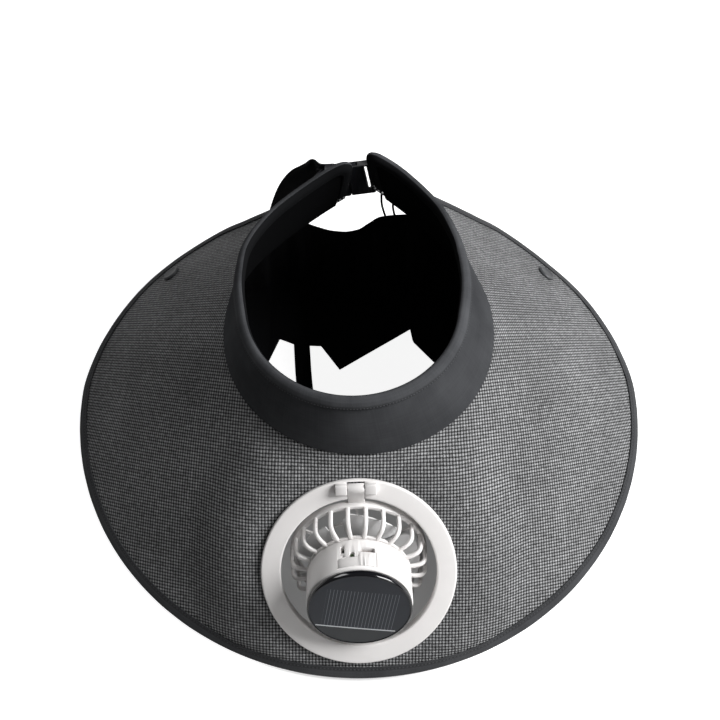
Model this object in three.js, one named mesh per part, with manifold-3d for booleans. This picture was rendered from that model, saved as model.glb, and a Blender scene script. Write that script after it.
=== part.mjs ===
// Solar fan hat: an open-crown sun visor with a wide woven brim, a padded band,
// a swinging fan head with a solar panel in the front brim, and a buttoned neck flap.
// Millimetres, +Z up. The wearer looks along -Y and +X is to the right of the picture.
// The hat stands on its brim edge, leaning a little forward, and the plane z = 0 is the table.

import * as THREE from 'three';
import { mergeVertices } from 'three/addons/utils/BufferGeometryUtils.js';
import Module from 'manifold-3d';

const wasm = await Module();
wasm.setup();

const DEG = Math.PI / 180;
const GAP = 0.3; // clearance between pieces that touch on the real hat

// Brim: a flat C of stiff plain weave, bent to a cone in front and left flat behind
const BRIM_SLOPE = 41.3; // degrees below horizontal
const BAND_RADIUS = 97; // line where the band meets the brim
const BRIM_WALL = 1.6;
const STAND_LEAN = 1.6; // degrees that the hat leans forward on the table
const REST_SPREAD = 70; // degrees of the flat pattern, each way, that stand on the table
const BRIM_CORNER = 14; // radius of the two rear corners
const BRIM_COLUMNS = 74; // facets round the brim between its corners
const CORNER_STEPS = 4;

// Each half leaves the cone at its departure azimuth and ends at a flat pattern angle.
// The worn hat has sagged to one side, so its halves differ.
const LEFT_HALF = { departure: 131, end: 134 };
const RIGHT_HALF = { departure: 124, end: 136.5 };

// Width of the brim behind its resting stretch, as a share of the width where that ends
const REAR_WIDTHS = [
  { angle: 70, share: 1 },
  { angle: 77, share: 0.975 },
  { angle: 83, share: 0.935 },
  { angle: 89, share: 0.888 },
  { angle: 95, share: 0.82 },
  { angle: 100.5, share: 0.751 },
  { angle: 106, share: 0.664 },
  { angle: 111, share: 0.543 },
  { angle: 116.5, share: 0.435 },
  { angle: 120, share: 0.373 },
  { angle: 127, share: 0.298 },
  { angle: 137, share: 0.248 },
];

// Binding folded over the brim's edge
const BINDING_WIDTH = 8.5;
const BINDING_WALL = 1;
const BINDING_FOLD = 1.05; // from the outline to the inside of the fold
const FOLD_GAP = 0.5;

// Headband: a padded wall with a rolled top edge
const BAND_WALL = 4.5;
const BAND_SAG = 5.5; // the top of the band leans this far towards -X in front
const ROLL_WIDTH = 7.2;
const ROLL_HEIGHT = 9;
const BAND_CORNER = 6; // radius of the upper rear corners
const BAND_TUCK = 6; // in front the band stands this far up the slope from the band line
const TUCK_FROM = 60; // flat pattern angle up to which it does so
const TUCK_FADE = 50;
const ROLL_TAIL = 9; // height above the brim at which the roll ends

// Height of the band with its roll, and its lean towards the head, by flat pattern angle
const BAND_HEIGHT = 50.5;
const BAND_STATIONS = [
  { angle: 0, height: 0.9, lean: 27.1 },
  { angle: 60, height: 0.9, lean: 27.1 },
  { angle: 80, height: 0.92, lean: 20.5 },
  { angle: 95, height: 0.94, lean: 11.5 },
  { angle: 110, height: 0.94, lean: 5 },
  { angle: 125, height: 0.95, lean: 4 },
  { angle: 142, height: 0.96, lean: 8 },
];

// The band's rear ends are cut so that their tops reach further round, in degrees of the flat pattern
const END_SLANT = { left: 3.3, right: 5 };
const RIGHT_END_SHORT = 2.3; // the right half's end stops this much before the left one's at its foot
const SLANT_FROM = 100;
const SLANT_FADE = 30;

// Fan ring clamped in the front brim, round the cage's rim
const RIM_RADIUS = 46.4;
const RING_INNER = RIM_RADIUS + 5.3;
const RING_OUTER = RING_INNER + 13.3;
const RING_THICK = 3; // height of the flange above the brim
const RING_TWIST = 1.9; // degrees that the ring is turned in the brim, its top towards -X
const COLLAR_OUTER = RING_INNER + 4.2;
const COLLAR_WALL = 2.5;
const COLLAR_DEPTH = 9; // depth of the collar below the brim
const CLAMP_OUTER = COLLAR_OUTER + 5.1;
const CLAMP_THICK = 3;
const CLAMP_GAP = 0.7;
const FAN_OUT = RING_OUTER + 10.2; // from the band line to the ring's centre, along the slope
const FLAT_INNER = RING_OUTER + 5; // the brim is held flat within this radius of the ring's centre
const FLAT_OUTER = FLAT_INNER + 55; // and is a plain cone again beyond this one
const BRIM_FRONT = FAN_OUT + RING_OUTER + 12.3; // width of the brim along the slope in front
const EDGE_CURL = 15; // the flat part bends down to the cone over this width before the edge

// Hinge at the ring's top
const AXIS_DROP = RIM_RADIUS + 11.1; // from the pin to the fan's axis
const HINGE_OUT = AXIS_DROP + 1.5; // from the ring's centre to the pin
const HINGE_RISE = 4.8; // height of the pin above the middle of the brim sheet
const PIN_RADIUS = 1.5;
const BARREL_RADIUS = 3.6;
const ARM_WIDTH = 11;
const ARM_THICK = 3.4;
const KNUCKLE_WIDTH = 7.6;
const SWING = 25; // degrees that the fan head hangs in behind the plane of the ring

// Fan head, along its own axis from the plane of the hinge pin
const RIM_WIDTH = 3;
const RIM_FRONT = 4.8;
const RIM_BACK = -0.8;
const BASE_RADIUS = 34.6; // radius of the round housing and of the plate that the ribs meet
const BASE_FRONT = 21;
const BASE_THICK = 2;
const BASE_WIDTH = 4;
const RIB_COUNT = 24;
const RIB_WIDTH = 3.1;
const RIB_DEPTH = 2.6;
const HUB_FRONT = 47;
const PANEL_RADIUS = 34;
const PANEL_THICK = 4.5;
const CELL_MARGIN = 1.4;
const CELL_THICK = 1;
const SHAFT_RADIUS = 1.5;
const SHAFT_BACK = 5;
const GUARD_RINGS = 3;
const GUARD_SPOKES = 6;
const GUARD_BAR = 2;

// Rotor inside the cage
const BOSS_RADIUS = 11;
const BOSS_BACK = 2.5;
const BOSS_FRONT = 14.5;
const BLADE_COUNT = 5;
const BLADE_TIP = RIM_RADIUS - 5.2;
const BLADE_WALL = 1.4;
const BLADE_SPAN = 58; // degrees that a blade covers round the axis
const BLADE_BACK = 4;
const BLADE_FRONT = 13;

// Port cover and openings on the upper side of the housing
const COVER_LEFT = -12.6;
const COVER_RIGHT = 11.7;
const COVER_STEP = 0.8; // where the cover's back edge steps
const COVER_WALL = 1.4;
const COVER_BACK = 33;
const COVER_BACK_LEFT = 37.2;
const COVER_FRONT = HUB_FRONT - 2.6;
const PORTS = [
  { name: 'switch', from: -11.2, to: -8.6, back: 27, front: 35 },
  { name: 'lamp', from: -5.5, to: -2, back: 32.8, front: COVER_BACK_LEFT },
  { name: 'socket', from: 1, to: 11, back: 29.2, front: COVER_BACK },
];
const PORT_DEPTH = 5;

// Snap fasteners through the rear brim
const SNAP_RADIUS = 7.4;
const SNAP_RISE = 2.2;
const SNAP_POST = 2.4;
const SNAP_FOOT = 5.6;
const SNAP_DEPTH = 2.2;
const SNAP_INSET = 25; // from the brim's outer edge
const SIDE_SNAP_ANGLE = 92.6;
const REAR_SNAP_ANGLE = 116.6;

// Rear strap with its side release buckle
const WEB_WIDTH = 25;
const WEB_WALL = 1.5;
const BUCKLE_HEIGHT = 29;
const BUCKLE_THICK = 6;
const BUCKLE_TILT = 6; // degrees that its top leans back
const BUCKLE_TURN = 10; // degrees that its right end is raised
const BUCKLE_BEHIND = 8.5; // from the tip of the right half's band line to the buckle's middle
const BUCKLE_ABOVE = -1;
const BUCKLE_ASIDE = -8.9;
const LEFT_TIP_BELOW = 7; // the left half's tip lies this much lower than the right one
const SOCKET_LEFT = -8;
const SOCKET_RIGHT = 5.4;
const SOCKET_BAR = 3;
const SLOT_WIDTH = 2.3;
const PLUG_LEFT = -23;
const PRONG_LENGTH = 8;

// Middle line of the strap's loose end and the way its width points, measured from the brim's edge
// where it hangs over
const TAIL_ANGLE = -120;
const TAIL_PATH = [
  { x: 22.7, y: -6, z: 48, acrossX: -0.12, acrossY: -0.2, acrossZ: 0.95 },
  { x: 16.2, y: -4, z: 43.5, acrossX: -0.34, acrossY: -0.31, acrossZ: 0.88 },
  { x: 9.1, y: -0.5, z: 31, acrossX: -0.62, acrossY: -0.24, acrossZ: 0.75 },
  { x: 0.5, y: 5, z: 6, acrossX: -0.92, acrossY: -0.08, acrossZ: 0.38 },
  { x: -8.7, y: 9.5, z: -30.8, acrossX: -0.97, acrossY: 0.1, acrossZ: 0.12 },
];

// Neck flap of soft cloth, buttoned under the rear brim and gathered on the table
const CLOTH_WALL = 1.2;
const FLAP_SIDE_SAG = 6; // drop of its top edge between a side snap and a rear one
const FLAP_REAR_SAG = [
  { along: 0, drop: 0 },
  { along: 0.1, drop: 13 },
  { along: 0.2, drop: 22 },
  { along: 0.3, drop: 27 },
  { along: 0.4, drop: 29 },
  { along: 0.48, drop: 27 },
  { along: 0.55, drop: 19 },
  { along: 0.64, drop: 9 },
  { along: 0.76, drop: 3.5 },
  { along: 1, drop: 0 },
];
const FOLD_DEPTH = 3.2;
const FOLD_COUNT = 17;
const FLAP_TURN = 9; // radius of the turn from hanging to lying
const TIE_WIDTH = 12;

// Plan of the hem on the table, from -X to +X, as shares of the band radius.
// The first number is the place along the flap.
const HEM_PLAN = [
  { along: 0.0, x: -1.42, y: 0.72 },
  { along: 0.1, x: -1.12, y: 0.42 },
  { along: 0.22, x: -0.76, y: 0.28 },
  { along: 0.27, x: -0.64, y: 0.59 },
  { along: 0.33, x: -0.5, y: 0.53 },
  { along: 0.43, x: -0.29, y: 0.52 },
  { along: 0.48, x: -0.13, y: 0.29 },
  { along: 0.63, x: 0.47, y: 0.69 },
  { along: 0.65, x: 0.49, y: 0.56 },
  { along: 0.72, x: 0.66, y: 0.36 },
  { along: 0.86, x: 1.1, y: 0.44 },
  { along: 1.0, x: 1.4, y: 0.7 },
];

const SIN = Math.sin(BRIM_SLOPE * DEG);
const COS = Math.cos(BRIM_SLOPE * DEG);
const FLAT_RADIUS = BAND_RADIUS / COS; // radius of the band line in the flat pattern
const APEX = new THREE.Vector3(0, 0, BAND_RADIUS * Math.tan(BRIM_SLOPE * DEG));
const UP = new THREE.Vector3(0, 0, 1);

// Materials
function finish(color, roughness, metalness = 0) {
  return new THREE.MeshStandardMaterial({ color, roughness, metalness });
}
const weave = finish(0x3c3d40, 0.9);
const binding = finish(0x2b2c30, 0.85);
const bandCloth = finish(0x333336, 0.9);
const webbing = finish(0x14151a, 0.85);
const softCloth = finish(0x0d0e13, 0.95);
const blackPlastic = finish(0x101114, 0.45);
const greyPlastic = finish(0x4a4b4d, 0.5);
const whitePlastic = finish(0xe9e6e4, 0.4);
const clearPlastic = finish(0xb9bcbf, 0.25);
const glossBlack = finish(0x0a0b0e, 0.12);
const cellBlue = finish(0x1c232d, 0.2);
const steel = finish(0xb5b5b8, 0.35, 1);

// Solids

// Makes a closed mesh from points and triangles and turns its faces outward.
function closedMesh(points, triangles) {
  let volume = 0;
  for (const [a, b, c] of triangles) {
    volume += points[a].dot(new THREE.Vector3().crossVectors(points[b], points[c]));
  }
  const index = volume > 0 ? triangles : triangles.map(([a, b, c]) => [a, c, b]);
  const geometry = new THREE.BufferGeometry();
  geometry.setAttribute('position', new THREE.Float32BufferAttribute(points.flatMap((p) => [p.x, p.y, p.z]), 3));
  geometry.setIndex(index.flat());
  return geometry;
}

// A wall of even thickness on a surface: place(u, v, height) gives its points.
function slab(columns, rows, place, wall) {
  const points = [];
  const triangles = [];
  const count = (columns + 1) * (rows + 1);
  for (const height of [wall / 2, -wall / 2]) {
    for (let i = 0; i <= columns; i++) {
      for (let j = 0; j <= rows; j++) points.push(place(i / columns, j / rows, height));
    }
  }
  const at = (i, j, layer) => layer * count + i * (rows + 1) + j;
  const quad = (a, b, c, d) => triangles.push([a, b, c], [a, c, d]);
  for (let i = 0; i < columns; i++) {
    for (let j = 0; j < rows; j++) {
      quad(at(i, j, 0), at(i + 1, j, 0), at(i + 1, j + 1, 0), at(i, j + 1, 0));
      quad(at(i, j, 1), at(i, j + 1, 1), at(i + 1, j + 1, 1), at(i + 1, j, 1));
    }
  }
  for (let i = 0; i < columns; i++) {
    quad(at(i, 0, 0), at(i, 0, 1), at(i + 1, 0, 1), at(i + 1, 0, 0));
    quad(at(i, rows, 0), at(i + 1, rows, 0), at(i + 1, rows, 1), at(i, rows, 1));
  }
  for (let j = 0; j < rows; j++) {
    quad(at(0, j, 0), at(0, j + 1, 0), at(0, j + 1, 1), at(0, j, 1));
    quad(at(columns, j, 0), at(columns, j, 1), at(columns, j + 1, 1), at(columns, j + 1, 0));
  }
  return closedMesh(points, triangles);
}

// A bar with a constant outline, given as 2D points, through a row of stations.
function sweep(corners, stations, place) {
  const outline = THREE.ShapeUtils.isClockWise(corners) ? [...corners].reverse() : corners;
  const points = stations.flatMap((station) => outline.map((corner) => place(station, corner.x, corner.y)));
  const n = outline.length;
  const triangles = [];
  for (let s = 0; s + 1 < stations.length; s++) {
    for (let k = 0; k < n; k++) {
      const a = s * n + k;
      const b = s * n + ((k + 1) % n);
      triangles.push([a, b, b + n], [a, b + n, a + n]);
    }
  }
  const last = (stations.length - 1) * n;
  for (const [a, b, c] of THREE.ShapeUtils.triangulateShape(outline, [])) {
    triangles.push([c, b, a], [last + a, last + b, last + c]);
  }
  return closedMesh(points, triangles);
}

function toSolid(geometry) {
  const plain = new THREE.BufferGeometry();
  plain.setAttribute('position', geometry.getAttribute('position').clone());
  if (geometry.index) plain.setIndex(geometry.index.clone());
  const merged = mergeVertices(plain, 1e-4);
  const vertProperties = Float32Array.from(merged.getAttribute('position').array);
  const triVerts = Uint32Array.from(merged.index.array);
  return new wasm.Manifold(new wasm.Mesh({ numProp: 3, vertProperties, triVerts }));
}

function toGeometry(solid) {
  const { vertProperties, triVerts } = solid.getMesh();
  const geometry = new THREE.BufferGeometry();
  geometry.setAttribute('position', new THREE.Float32BufferAttribute(Array.from(vertProperties), 3));
  geometry.setIndex(Array.from(triVerts));
  return geometry;
}

// Joins the first list of geometries and cuts the second list away.
function carve(added, removed = []) {
  let solid = toSolid(added[0]);
  for (const geometry of added.slice(1)) solid = solid.add(toSolid(geometry));
  for (const geometry of removed) solid = solid.subtract(toSolid(geometry));
  return toGeometry(solid);
}

// A body turned about Z from a profile of [radius, height] points.
function turned(profile, segments) {
  const points = profile.map(([radius, height]) => new THREE.Vector2(radius, height));
  const onAxis = profile[0][0] === 0 && profile[profile.length - 1][0] === 0;
  if (!onAxis) points.push(points[0].clone());
  const lathe = new THREE.LatheGeometry(points, segments).rotateX(Math.PI / 2);
  const plain = new THREE.BufferGeometry();
  plain.setAttribute('position', lathe.getAttribute('position'));
  plain.setIndex(lathe.index);
  const merged = mergeVertices(plain, 1e-4);
  const place = merged.getAttribute('position');
  const vertices = Array.from({ length: place.count }, (_, i) => new THREE.Vector3().fromBufferAttribute(place, i));
  const index = merged.index.array;
  const triangles = [];
  for (let t = 0; t < index.length; t += 3) {
    const [a, b, c] = [index[t], index[t + 1], index[t + 2]];
    if (a !== b && b !== c && c !== a) triangles.push([a, b, c]);
  }
  return closedMesh(vertices, triangles);
}

function box(x0, x1, y0, y1, z0, z1) {
  const geometry = new THREE.BoxGeometry(x1 - x0, y1 - y0, z1 - z0);
  return geometry.translate((x0 + x1) / 2, (y0 + y1) / 2, (z0 + z1) / 2);
}

function rod(radius, x0, x1, y, z, segments = 20) {
  const geometry = new THREE.CylinderGeometry(radius, radius, x1 - x0, segments);
  return geometry.rotateZ(Math.PI / 2).translate((x0 + x1) / 2, y, z);
}

const smooth = (t) => THREE.MathUtils.smoothstep(t, 0, 1);
const mix = THREE.MathUtils.lerp;

// Reads a column of a table at a key, with straight lines between the rows.
function lookUp(rows, key, value, column) {
  let k = 1;
  while (k < rows.length - 1 && rows[k][key] < value) k++;
  const [a, b] = [rows[k - 1], rows[k]];
  const t = THREE.MathUtils.clamp((value - a[key]) / (b[key] - a[key]), 0, 1);
  return mix(a[column], b[column], t);
}

// The brim's surface

// Length from the band line at which the band stands and the brim begins
function bandLine(angle) {
  return -BAND_TUCK * (1 - smooth((Math.abs(angle) - TUCK_FROM) / TUCK_FADE));
}

const RING_CENTRE = new THREE.Vector3(0, -(BAND_RADIUS + FAN_OUT * COS), -FAN_OUT * SIN);
const RING_NORMAL = new THREE.Vector3(0, -SIN, COS);

// A point of the bent sheet: angle of the flat pattern, negative on the left, and length from the band line.
function bentPoint(angle, length) {
  const half = angle < 0 ? LEFT_HALF : RIGHT_HALF;
  const turn = Math.abs(angle) * DEG;
  const round = Math.min(turn, half.departure * DEG * COS);
  const azimuth = round / COS;
  const ruling = new THREE.Vector3(COS * Math.sin(azimuth), -COS * Math.cos(azimuth), -SIN);
  const tangent = new THREE.Vector3(Math.cos(azimuth), Math.sin(azimuth), 0);
  const direction = ruling.multiplyScalar(Math.cos(turn - round)).addScaledVector(tangent, Math.sin(turn - round));
  const point = APEX.clone().addScaledVector(direction, FLAT_RADIUS + length);
  if (angle < 0) point.x = -point.x;
  return point;
}

// The same point with the brim held flat round the fan ring.
function brimPoint(angle, length) {
  const point = bentPoint(angle, length);
  const offset = point.clone().sub(RING_CENTRE);
  const rise = offset.dot(RING_NORMAL);
  const near = smooth((FLAT_OUTER - offset.length()) / (FLAT_OUTER - FLAT_INNER));
  const belowBand = smooth(length / (FAN_OUT - COLLAR_OUTER));
  const beforeEdge = smooth((BRIM_FRONT - length) / EDGE_CURL);
  return point.addScaledVector(RING_NORMAL, -rise * near * belowBand * beforeEdge);
}

// Point, outward direction and upper normal of the brim at a place of the flat pattern.
function brimFrame(angle, length) {
  const step = 0.05;
  const point = brimPoint(angle, length);
  const out = brimPoint(angle, length + step).sub(brimPoint(angle, length - step)).normalize();
  const along = brimPoint(angle + step, length).sub(brimPoint(angle - step, length)).normalize();
  const normal = new THREE.Vector3().crossVectors(out, along).normalize();
  return { point, out, along, normal };
}

// The table, seen from the hat's own frame
const LEAN_SIN = Math.sin(STAND_LEAN * DEG);
const LEAN_COS = Math.cos(STAND_LEAN * DEG);
const BINDING_HALF = BRIM_WALL / 2 + FOLD_GAP + BINDING_WALL;
const rawHeight = (point) => point.y * LEAN_SIN + point.z * LEAN_COS;
const EDGE_RISE = BINDING_HALF * 0.45; // height of the sheet's middle where its bound edge rests
const STAND_HEIGHT = -rawHeight(bentPoint(0, BRIM_FRONT)) + EDGE_RISE;

// Width of the brim at an angle of its resting stretch, where its edge meets the table.
function restingWidth(angle) {
  let [low, high] = [BRIM_FRONT * 0.7, BRIM_FRONT * 1.4];
  for (let k = 0; k < 40; k++) {
    const middle = (low + high) / 2;
    const clear = rawHeight(brimPoint(angle, middle)) + STAND_HEIGHT - EDGE_RISE;
    if (clear > 0) low = middle;
    else high = middle;
  }
  return low;
}
const REST_END_WIDTH = restingWidth(REST_SPREAD);

function brimWidth(angle) {
  const turn = Math.abs(angle);
  if (turn <= REST_SPREAD) return restingWidth(angle);
  return REST_END_WIDTH * lookUp(REAR_WIDTHS, 'angle', turn, 'share');
}

// Width with the rear corners rounded
function outlineWidth(angle) {
  const half = angle < 0 ? LEFT_HALF : RIGHT_HALF;
  const width = brimWidth(angle);
  const fromEnd = (half.end - Math.abs(angle)) * DEG * (FLAT_RADIUS + width);
  const across = THREE.MathUtils.clamp(BRIM_CORNER - fromEnd, 0, BRIM_CORNER);
  return width - (BRIM_CORNER - Math.sqrt(BRIM_CORNER * BRIM_CORNER - across * across));
}

// Angles of the brim's facets, closer together at its rounded rear corners
function cornerAngles(half, sign) {
  const reach = FLAT_RADIUS + brimWidth(sign * half.end);
  return Array.from({ length: CORNER_STEPS }, (_, k) => {
    const fromEnd = BRIM_CORNER * (1 - Math.cos(((k + 1) / CORNER_STEPS) * Math.PI / 2));
    return sign * (half.end - fromEnd / reach / DEG);
  });
}
const LEFT_CORNER = cornerAngles(LEFT_HALF, -1);
const RIGHT_CORNER = cornerAngles(RIGHT_HALF, 1).reverse();
const EDGE_ANGLES = [
  ...LEFT_CORNER.slice(0, -1),
  ...Array.from({ length: BRIM_COLUMNS + 1 }, (_, k) => mix(LEFT_CORNER.at(-1), RIGHT_CORNER[0], k / BRIM_COLUMNS)),
  ...RIGHT_CORNER.slice(1),
];

// A wall that follows the brim between two angles, whose last two rows lie under the binding
function brimSheet(angles, wall) {
  const open = 6;
  const rows = open + 2;
  const last = angles.length - 1;
  const place = (u, v, height) => {
    const angle = angles[Math.round(u * last)];
    const inner = brimWidth(angle) - BINDING_WIDTH;
    const row = Math.round(v * rows);
    const length = row <= open ? mix(bandLine(angle), inner, row / open) : inner + (BINDING_WIDTH * (row - open)) / 2;
    const frame = brimFrame(angle, length);
    return frame.point.addScaledVector(frame.normal, height);
  };
  return slab(last, rows, place, wall);
}

function makeBrim() {
  const sheet = brimSheet([-LEFT_HALF.end, ...EDGE_ANGLES, RIGHT_HALF.end], BRIM_WALL);
  const inset = BINDING_FOLD + GAP;
  const beyond = [[-BRIM_CORNER, -4], [inset, -4], [inset, 4], [-BRIM_CORNER, 4]];
  const edge = sweep(beyond.map(([x, y]) => new THREE.Vector2(x, y)), outlinePath(-0.15), edgePoint);
  const reach = COLLAR_OUTER + GAP;
  const hole = turned([[0, -20], [reach, -20], [reach, 20], [0, 20]], 56).applyMatrix4(ringMatrix());
  const posts = SNAPS.map((snap) => {
    const post = turned([[0, -6], [SNAP_POST + GAP, -6], [SNAP_POST + GAP, 6], [0, 6]], 12);
    return post.applyMatrix4(snapMatrix(snap));
  });
  return carve([sheet], [edge, hole, ...posts]);
}

function ringMatrix() {
  return new THREE.Matrix4().makeRotationX(BRIM_SLOPE * DEG).setPosition(RING_CENTRE);
}

// The outline of the brim as flat pattern points, with the inward direction at each.
// It begins at a share of the rear end's length from the band line.
function outlinePath(first) {
  const flat = (angle, length) => {
    const reach = FLAT_RADIUS + length;
    return new THREE.Vector2(reach * Math.sin(angle * DEG), reach * Math.cos(angle * DEG));
  };
  const path = [];
  const endLine = (half, sign) => {
    const corner = brimWidth(sign * half.end) - BRIM_CORNER;
    return [first, 0.4, 0.7, 1].map((share) => flat(sign * half.end, corner * share));
  };
  path.push(...endLine(LEFT_HALF, -1));
  for (const angle of EDGE_ANGLES) path.push(flat(angle, outlineWidth(angle)));
  path.push(...endLine(RIGHT_HALF, 1).reverse());
  return path.map((point, k) => {
    const before = path[Math.max(k - 1, 0)];
    const after = path[Math.min(k + 1, path.length - 1)];
    const step = after.clone().sub(before).normalize();
    return { point, inward: new THREE.Vector2(step.y, -step.x) };
  });
}

// A point at a distance in from the outline and a height above the brim's middle.
function edgePoint(station, distance, height) {
  const place = station.point.clone().addScaledVector(station.inward, distance);
  const angle = Math.atan2(place.x, place.y) / DEG;
  const frame = brimFrame(angle, place.length() - FLAT_RADIUS);
  return frame.point.addScaledVector(frame.normal, height);
}

function makeBinding() {
  const inner = BRIM_WALL / 2 + FOLD_GAP;
  const outer = BINDING_HALF;
  const outline = [
    [BINDING_WIDTH, inner], [BINDING_WIDTH, outer], [1.2, outer], [0.3, outer * 0.6],
    [0.3, -outer * 0.6], [1.2, -outer], [BINDING_WIDTH, -outer], [BINDING_WIDTH, -inner],
    [BINDING_WIDTH / 2, -inner], [BINDING_FOLD, -inner], [BINDING_FOLD, inner], [BINDING_WIDTH / 2, inner],
  ].map(([x, y]) => new THREE.Vector2(x, y));
  return sweep(outline, outlinePath(0.12), edgePoint);
}

// Headband

// Place on the middle of the band's wall: angle of the flat pattern and height above its foot.
function bandPoint(place, height) {
  const slant = place < 0 ? -END_SLANT.left : END_SLANT.right;
  const angle = place + slant * (height / BAND_HEIGHT) * smooth((Math.abs(place) - SLANT_FROM) / SLANT_FADE);
  const frame = brimFrame(angle, bandLine(angle));
  const flatOut = new THREE.Vector3(frame.along.y, -frame.along.x, 0).normalize();
  if (flatOut.dot(frame.out) < 0) flatOut.negate();
  const lean = lookUp(BAND_STATIONS, 'angle', Math.abs(angle), 'lean') * DEG;
  const up = UP.clone().multiplyScalar(Math.cos(lean)).addScaledVector(flatOut, -Math.sin(lean));
  const fold = Math.acos(-up.dot(frame.out));
  const back = GAP + (BRIM_WALL / 2) * Math.tan(fold);
  const point = frame.point.addScaledVector(frame.out, -back).addScaledVector(up, height);
  const fade = THREE.MathUtils.clamp((BAND_RADIUS - point.y) / (BAND_RADIUS * 0.6), 0, 1);
  point.x -= BAND_SAG * (height / BAND_HEIGHT) * fade;
  return point;
}

function bandFrame(angle, height) {
  const step = 0.05;
  const along = bandPoint(angle + step, height).sub(bandPoint(angle - step, height)).normalize();
  const rise = bandPoint(angle, height + step).sub(bandPoint(angle, height - step)).normalize();
  const out = new THREE.Vector3().crossVectors(along, rise).normalize();
  return { point: bandPoint(angle, height), along, rise, out };
}

const BAND_MARGIN = (ROLL_HEIGHT + GAP) / FLAT_RADIUS / DEG; // the roll runs round the wall's ends
const BAND_FROM = -LEFT_HALF.end + BAND_MARGIN;
const BAND_TO = RIGHT_HALF.end - BAND_MARGIN - RIGHT_END_SHORT;

function wallHeight(angle) {
  const full = BAND_HEIGHT * lookUp(BAND_STATIONS, 'angle', Math.abs(angle), 'height') - ROLL_HEIGHT - GAP;
  const fromEnd = Math.min(angle - BAND_FROM, BAND_TO - angle) * DEG * FLAT_RADIUS;
  const across = THREE.MathUtils.clamp(BAND_CORNER - fromEnd, 0, BAND_CORNER);
  return full - (BAND_CORNER - Math.sqrt(BAND_CORNER * BAND_CORNER - across * across));
}

// Angles of the wall's columns, closer together at its rounded ends.
function wallAngles(count, steps) {
  const corner = BAND_CORNER / FLAT_RADIUS / DEG;
  const ends = Array.from({ length: steps }, (_, k) => corner * (1 - Math.cos((k / steps) * Math.PI / 2)));
  const middle = Array.from({ length: count + 1 }, (_, k) => mix(BAND_FROM + corner, BAND_TO - corner, k / count));
  return [...ends.map((a) => BAND_FROM + a), ...middle, ...ends.map((a) => BAND_TO - a).reverse()];
}

function makeHeadband() {
  const angles = wallAngles(60, 4);
  const last = angles.length - 1;
  const place = (u, v, height) => {
    const angle = angles[Math.round(u * last)];
    const frame = bandFrame(angle, wallHeight(angle) * v);
    return frame.point.addScaledVector(frame.out, height);
  };
  return slab(last, 1, place, BAND_WALL);
}

// The roll runs along the wall's top, round its corners and down its ends.
function rollPath() {
  const path = [];
  const side = (angle) => [0, 0.35, 0.7].map((t) => ({ angle, height: mix(ROLL_TAIL, wallHeight(angle), t) }));
  path.push(...side(BAND_FROM));
  for (const angle of wallAngles(60, 4)) path.push({ angle, height: wallHeight(angle) });
  path.push(...side(BAND_TO).reverse());
  return path.map((station, k) => {
    const before = path[Math.max(k - 1, 0)];
    const after = path[Math.min(k + 1, path.length - 1)];
    const run = (after.angle - before.angle) * DEG * FLAT_RADIUS;
    const climb = after.height - before.height;
    const size = Math.hypot(run, climb);
    return { ...station, run: run / size, climb: climb / size };
  });
}

function makeRoll() {
  const half = ROLL_WIDTH / 2;
  const outline = [
    [-BAND_WALL * 0.45, GAP], [-half, ROLL_HEIGHT * 0.3], [-half * 0.8, ROLL_HEIGHT * 0.78], [0, ROLL_HEIGHT],
    [half * 0.8, ROLL_HEIGHT * 0.78], [half, ROLL_HEIGHT * 0.3], [BAND_WALL * 0.45, GAP],
  ].map(([x, y]) => new THREE.Vector2(x, y));
  const place = (station, across, away) => {
    const frame = bandFrame(station.angle, station.height);
    const edge = frame.rise.multiplyScalar(station.run).addScaledVector(frame.along, -station.climb);
    return frame.point.addScaledVector(frame.out, across).addScaledVector(edge, away);
  };
  return sweep(outline, rollPath(), place);
}

// Snaps
const SNAPS = [
  { name: 'snap_side_left', angle: -SIDE_SNAP_ANGLE },
  { name: 'snap_side_right', angle: SIDE_SNAP_ANGLE },
  { name: 'snap_rear_left', angle: -REAR_SNAP_ANGLE },
  { name: 'snap_rear_right', angle: REAR_SNAP_ANGLE },
];

function snapMatrix(snap) {
  const frame = brimFrame(snap.angle, brimWidth(snap.angle) - SNAP_INSET);
  const side = new THREE.Vector3().crossVectors(frame.out, frame.normal);
  return new THREE.Matrix4().makeBasis(side, frame.out, frame.normal).setPosition(frame.point);
}

function makeSnap() {
  const top = BRIM_WALL / 2 + GAP;
  return turned([
    [0, top + SNAP_RISE], [SNAP_RADIUS * 0.55, top + SNAP_RISE * 0.85], [SNAP_RADIUS * 0.9, top + SNAP_RISE * 0.4],
    [SNAP_RADIUS, top], [SNAP_POST, top], [SNAP_POST, -top], [SNAP_FOOT, -top],
    [SNAP_FOOT * 0.8, -top - SNAP_DEPTH], [0, -top - SNAP_DEPTH],
  ], 14);
}

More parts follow.
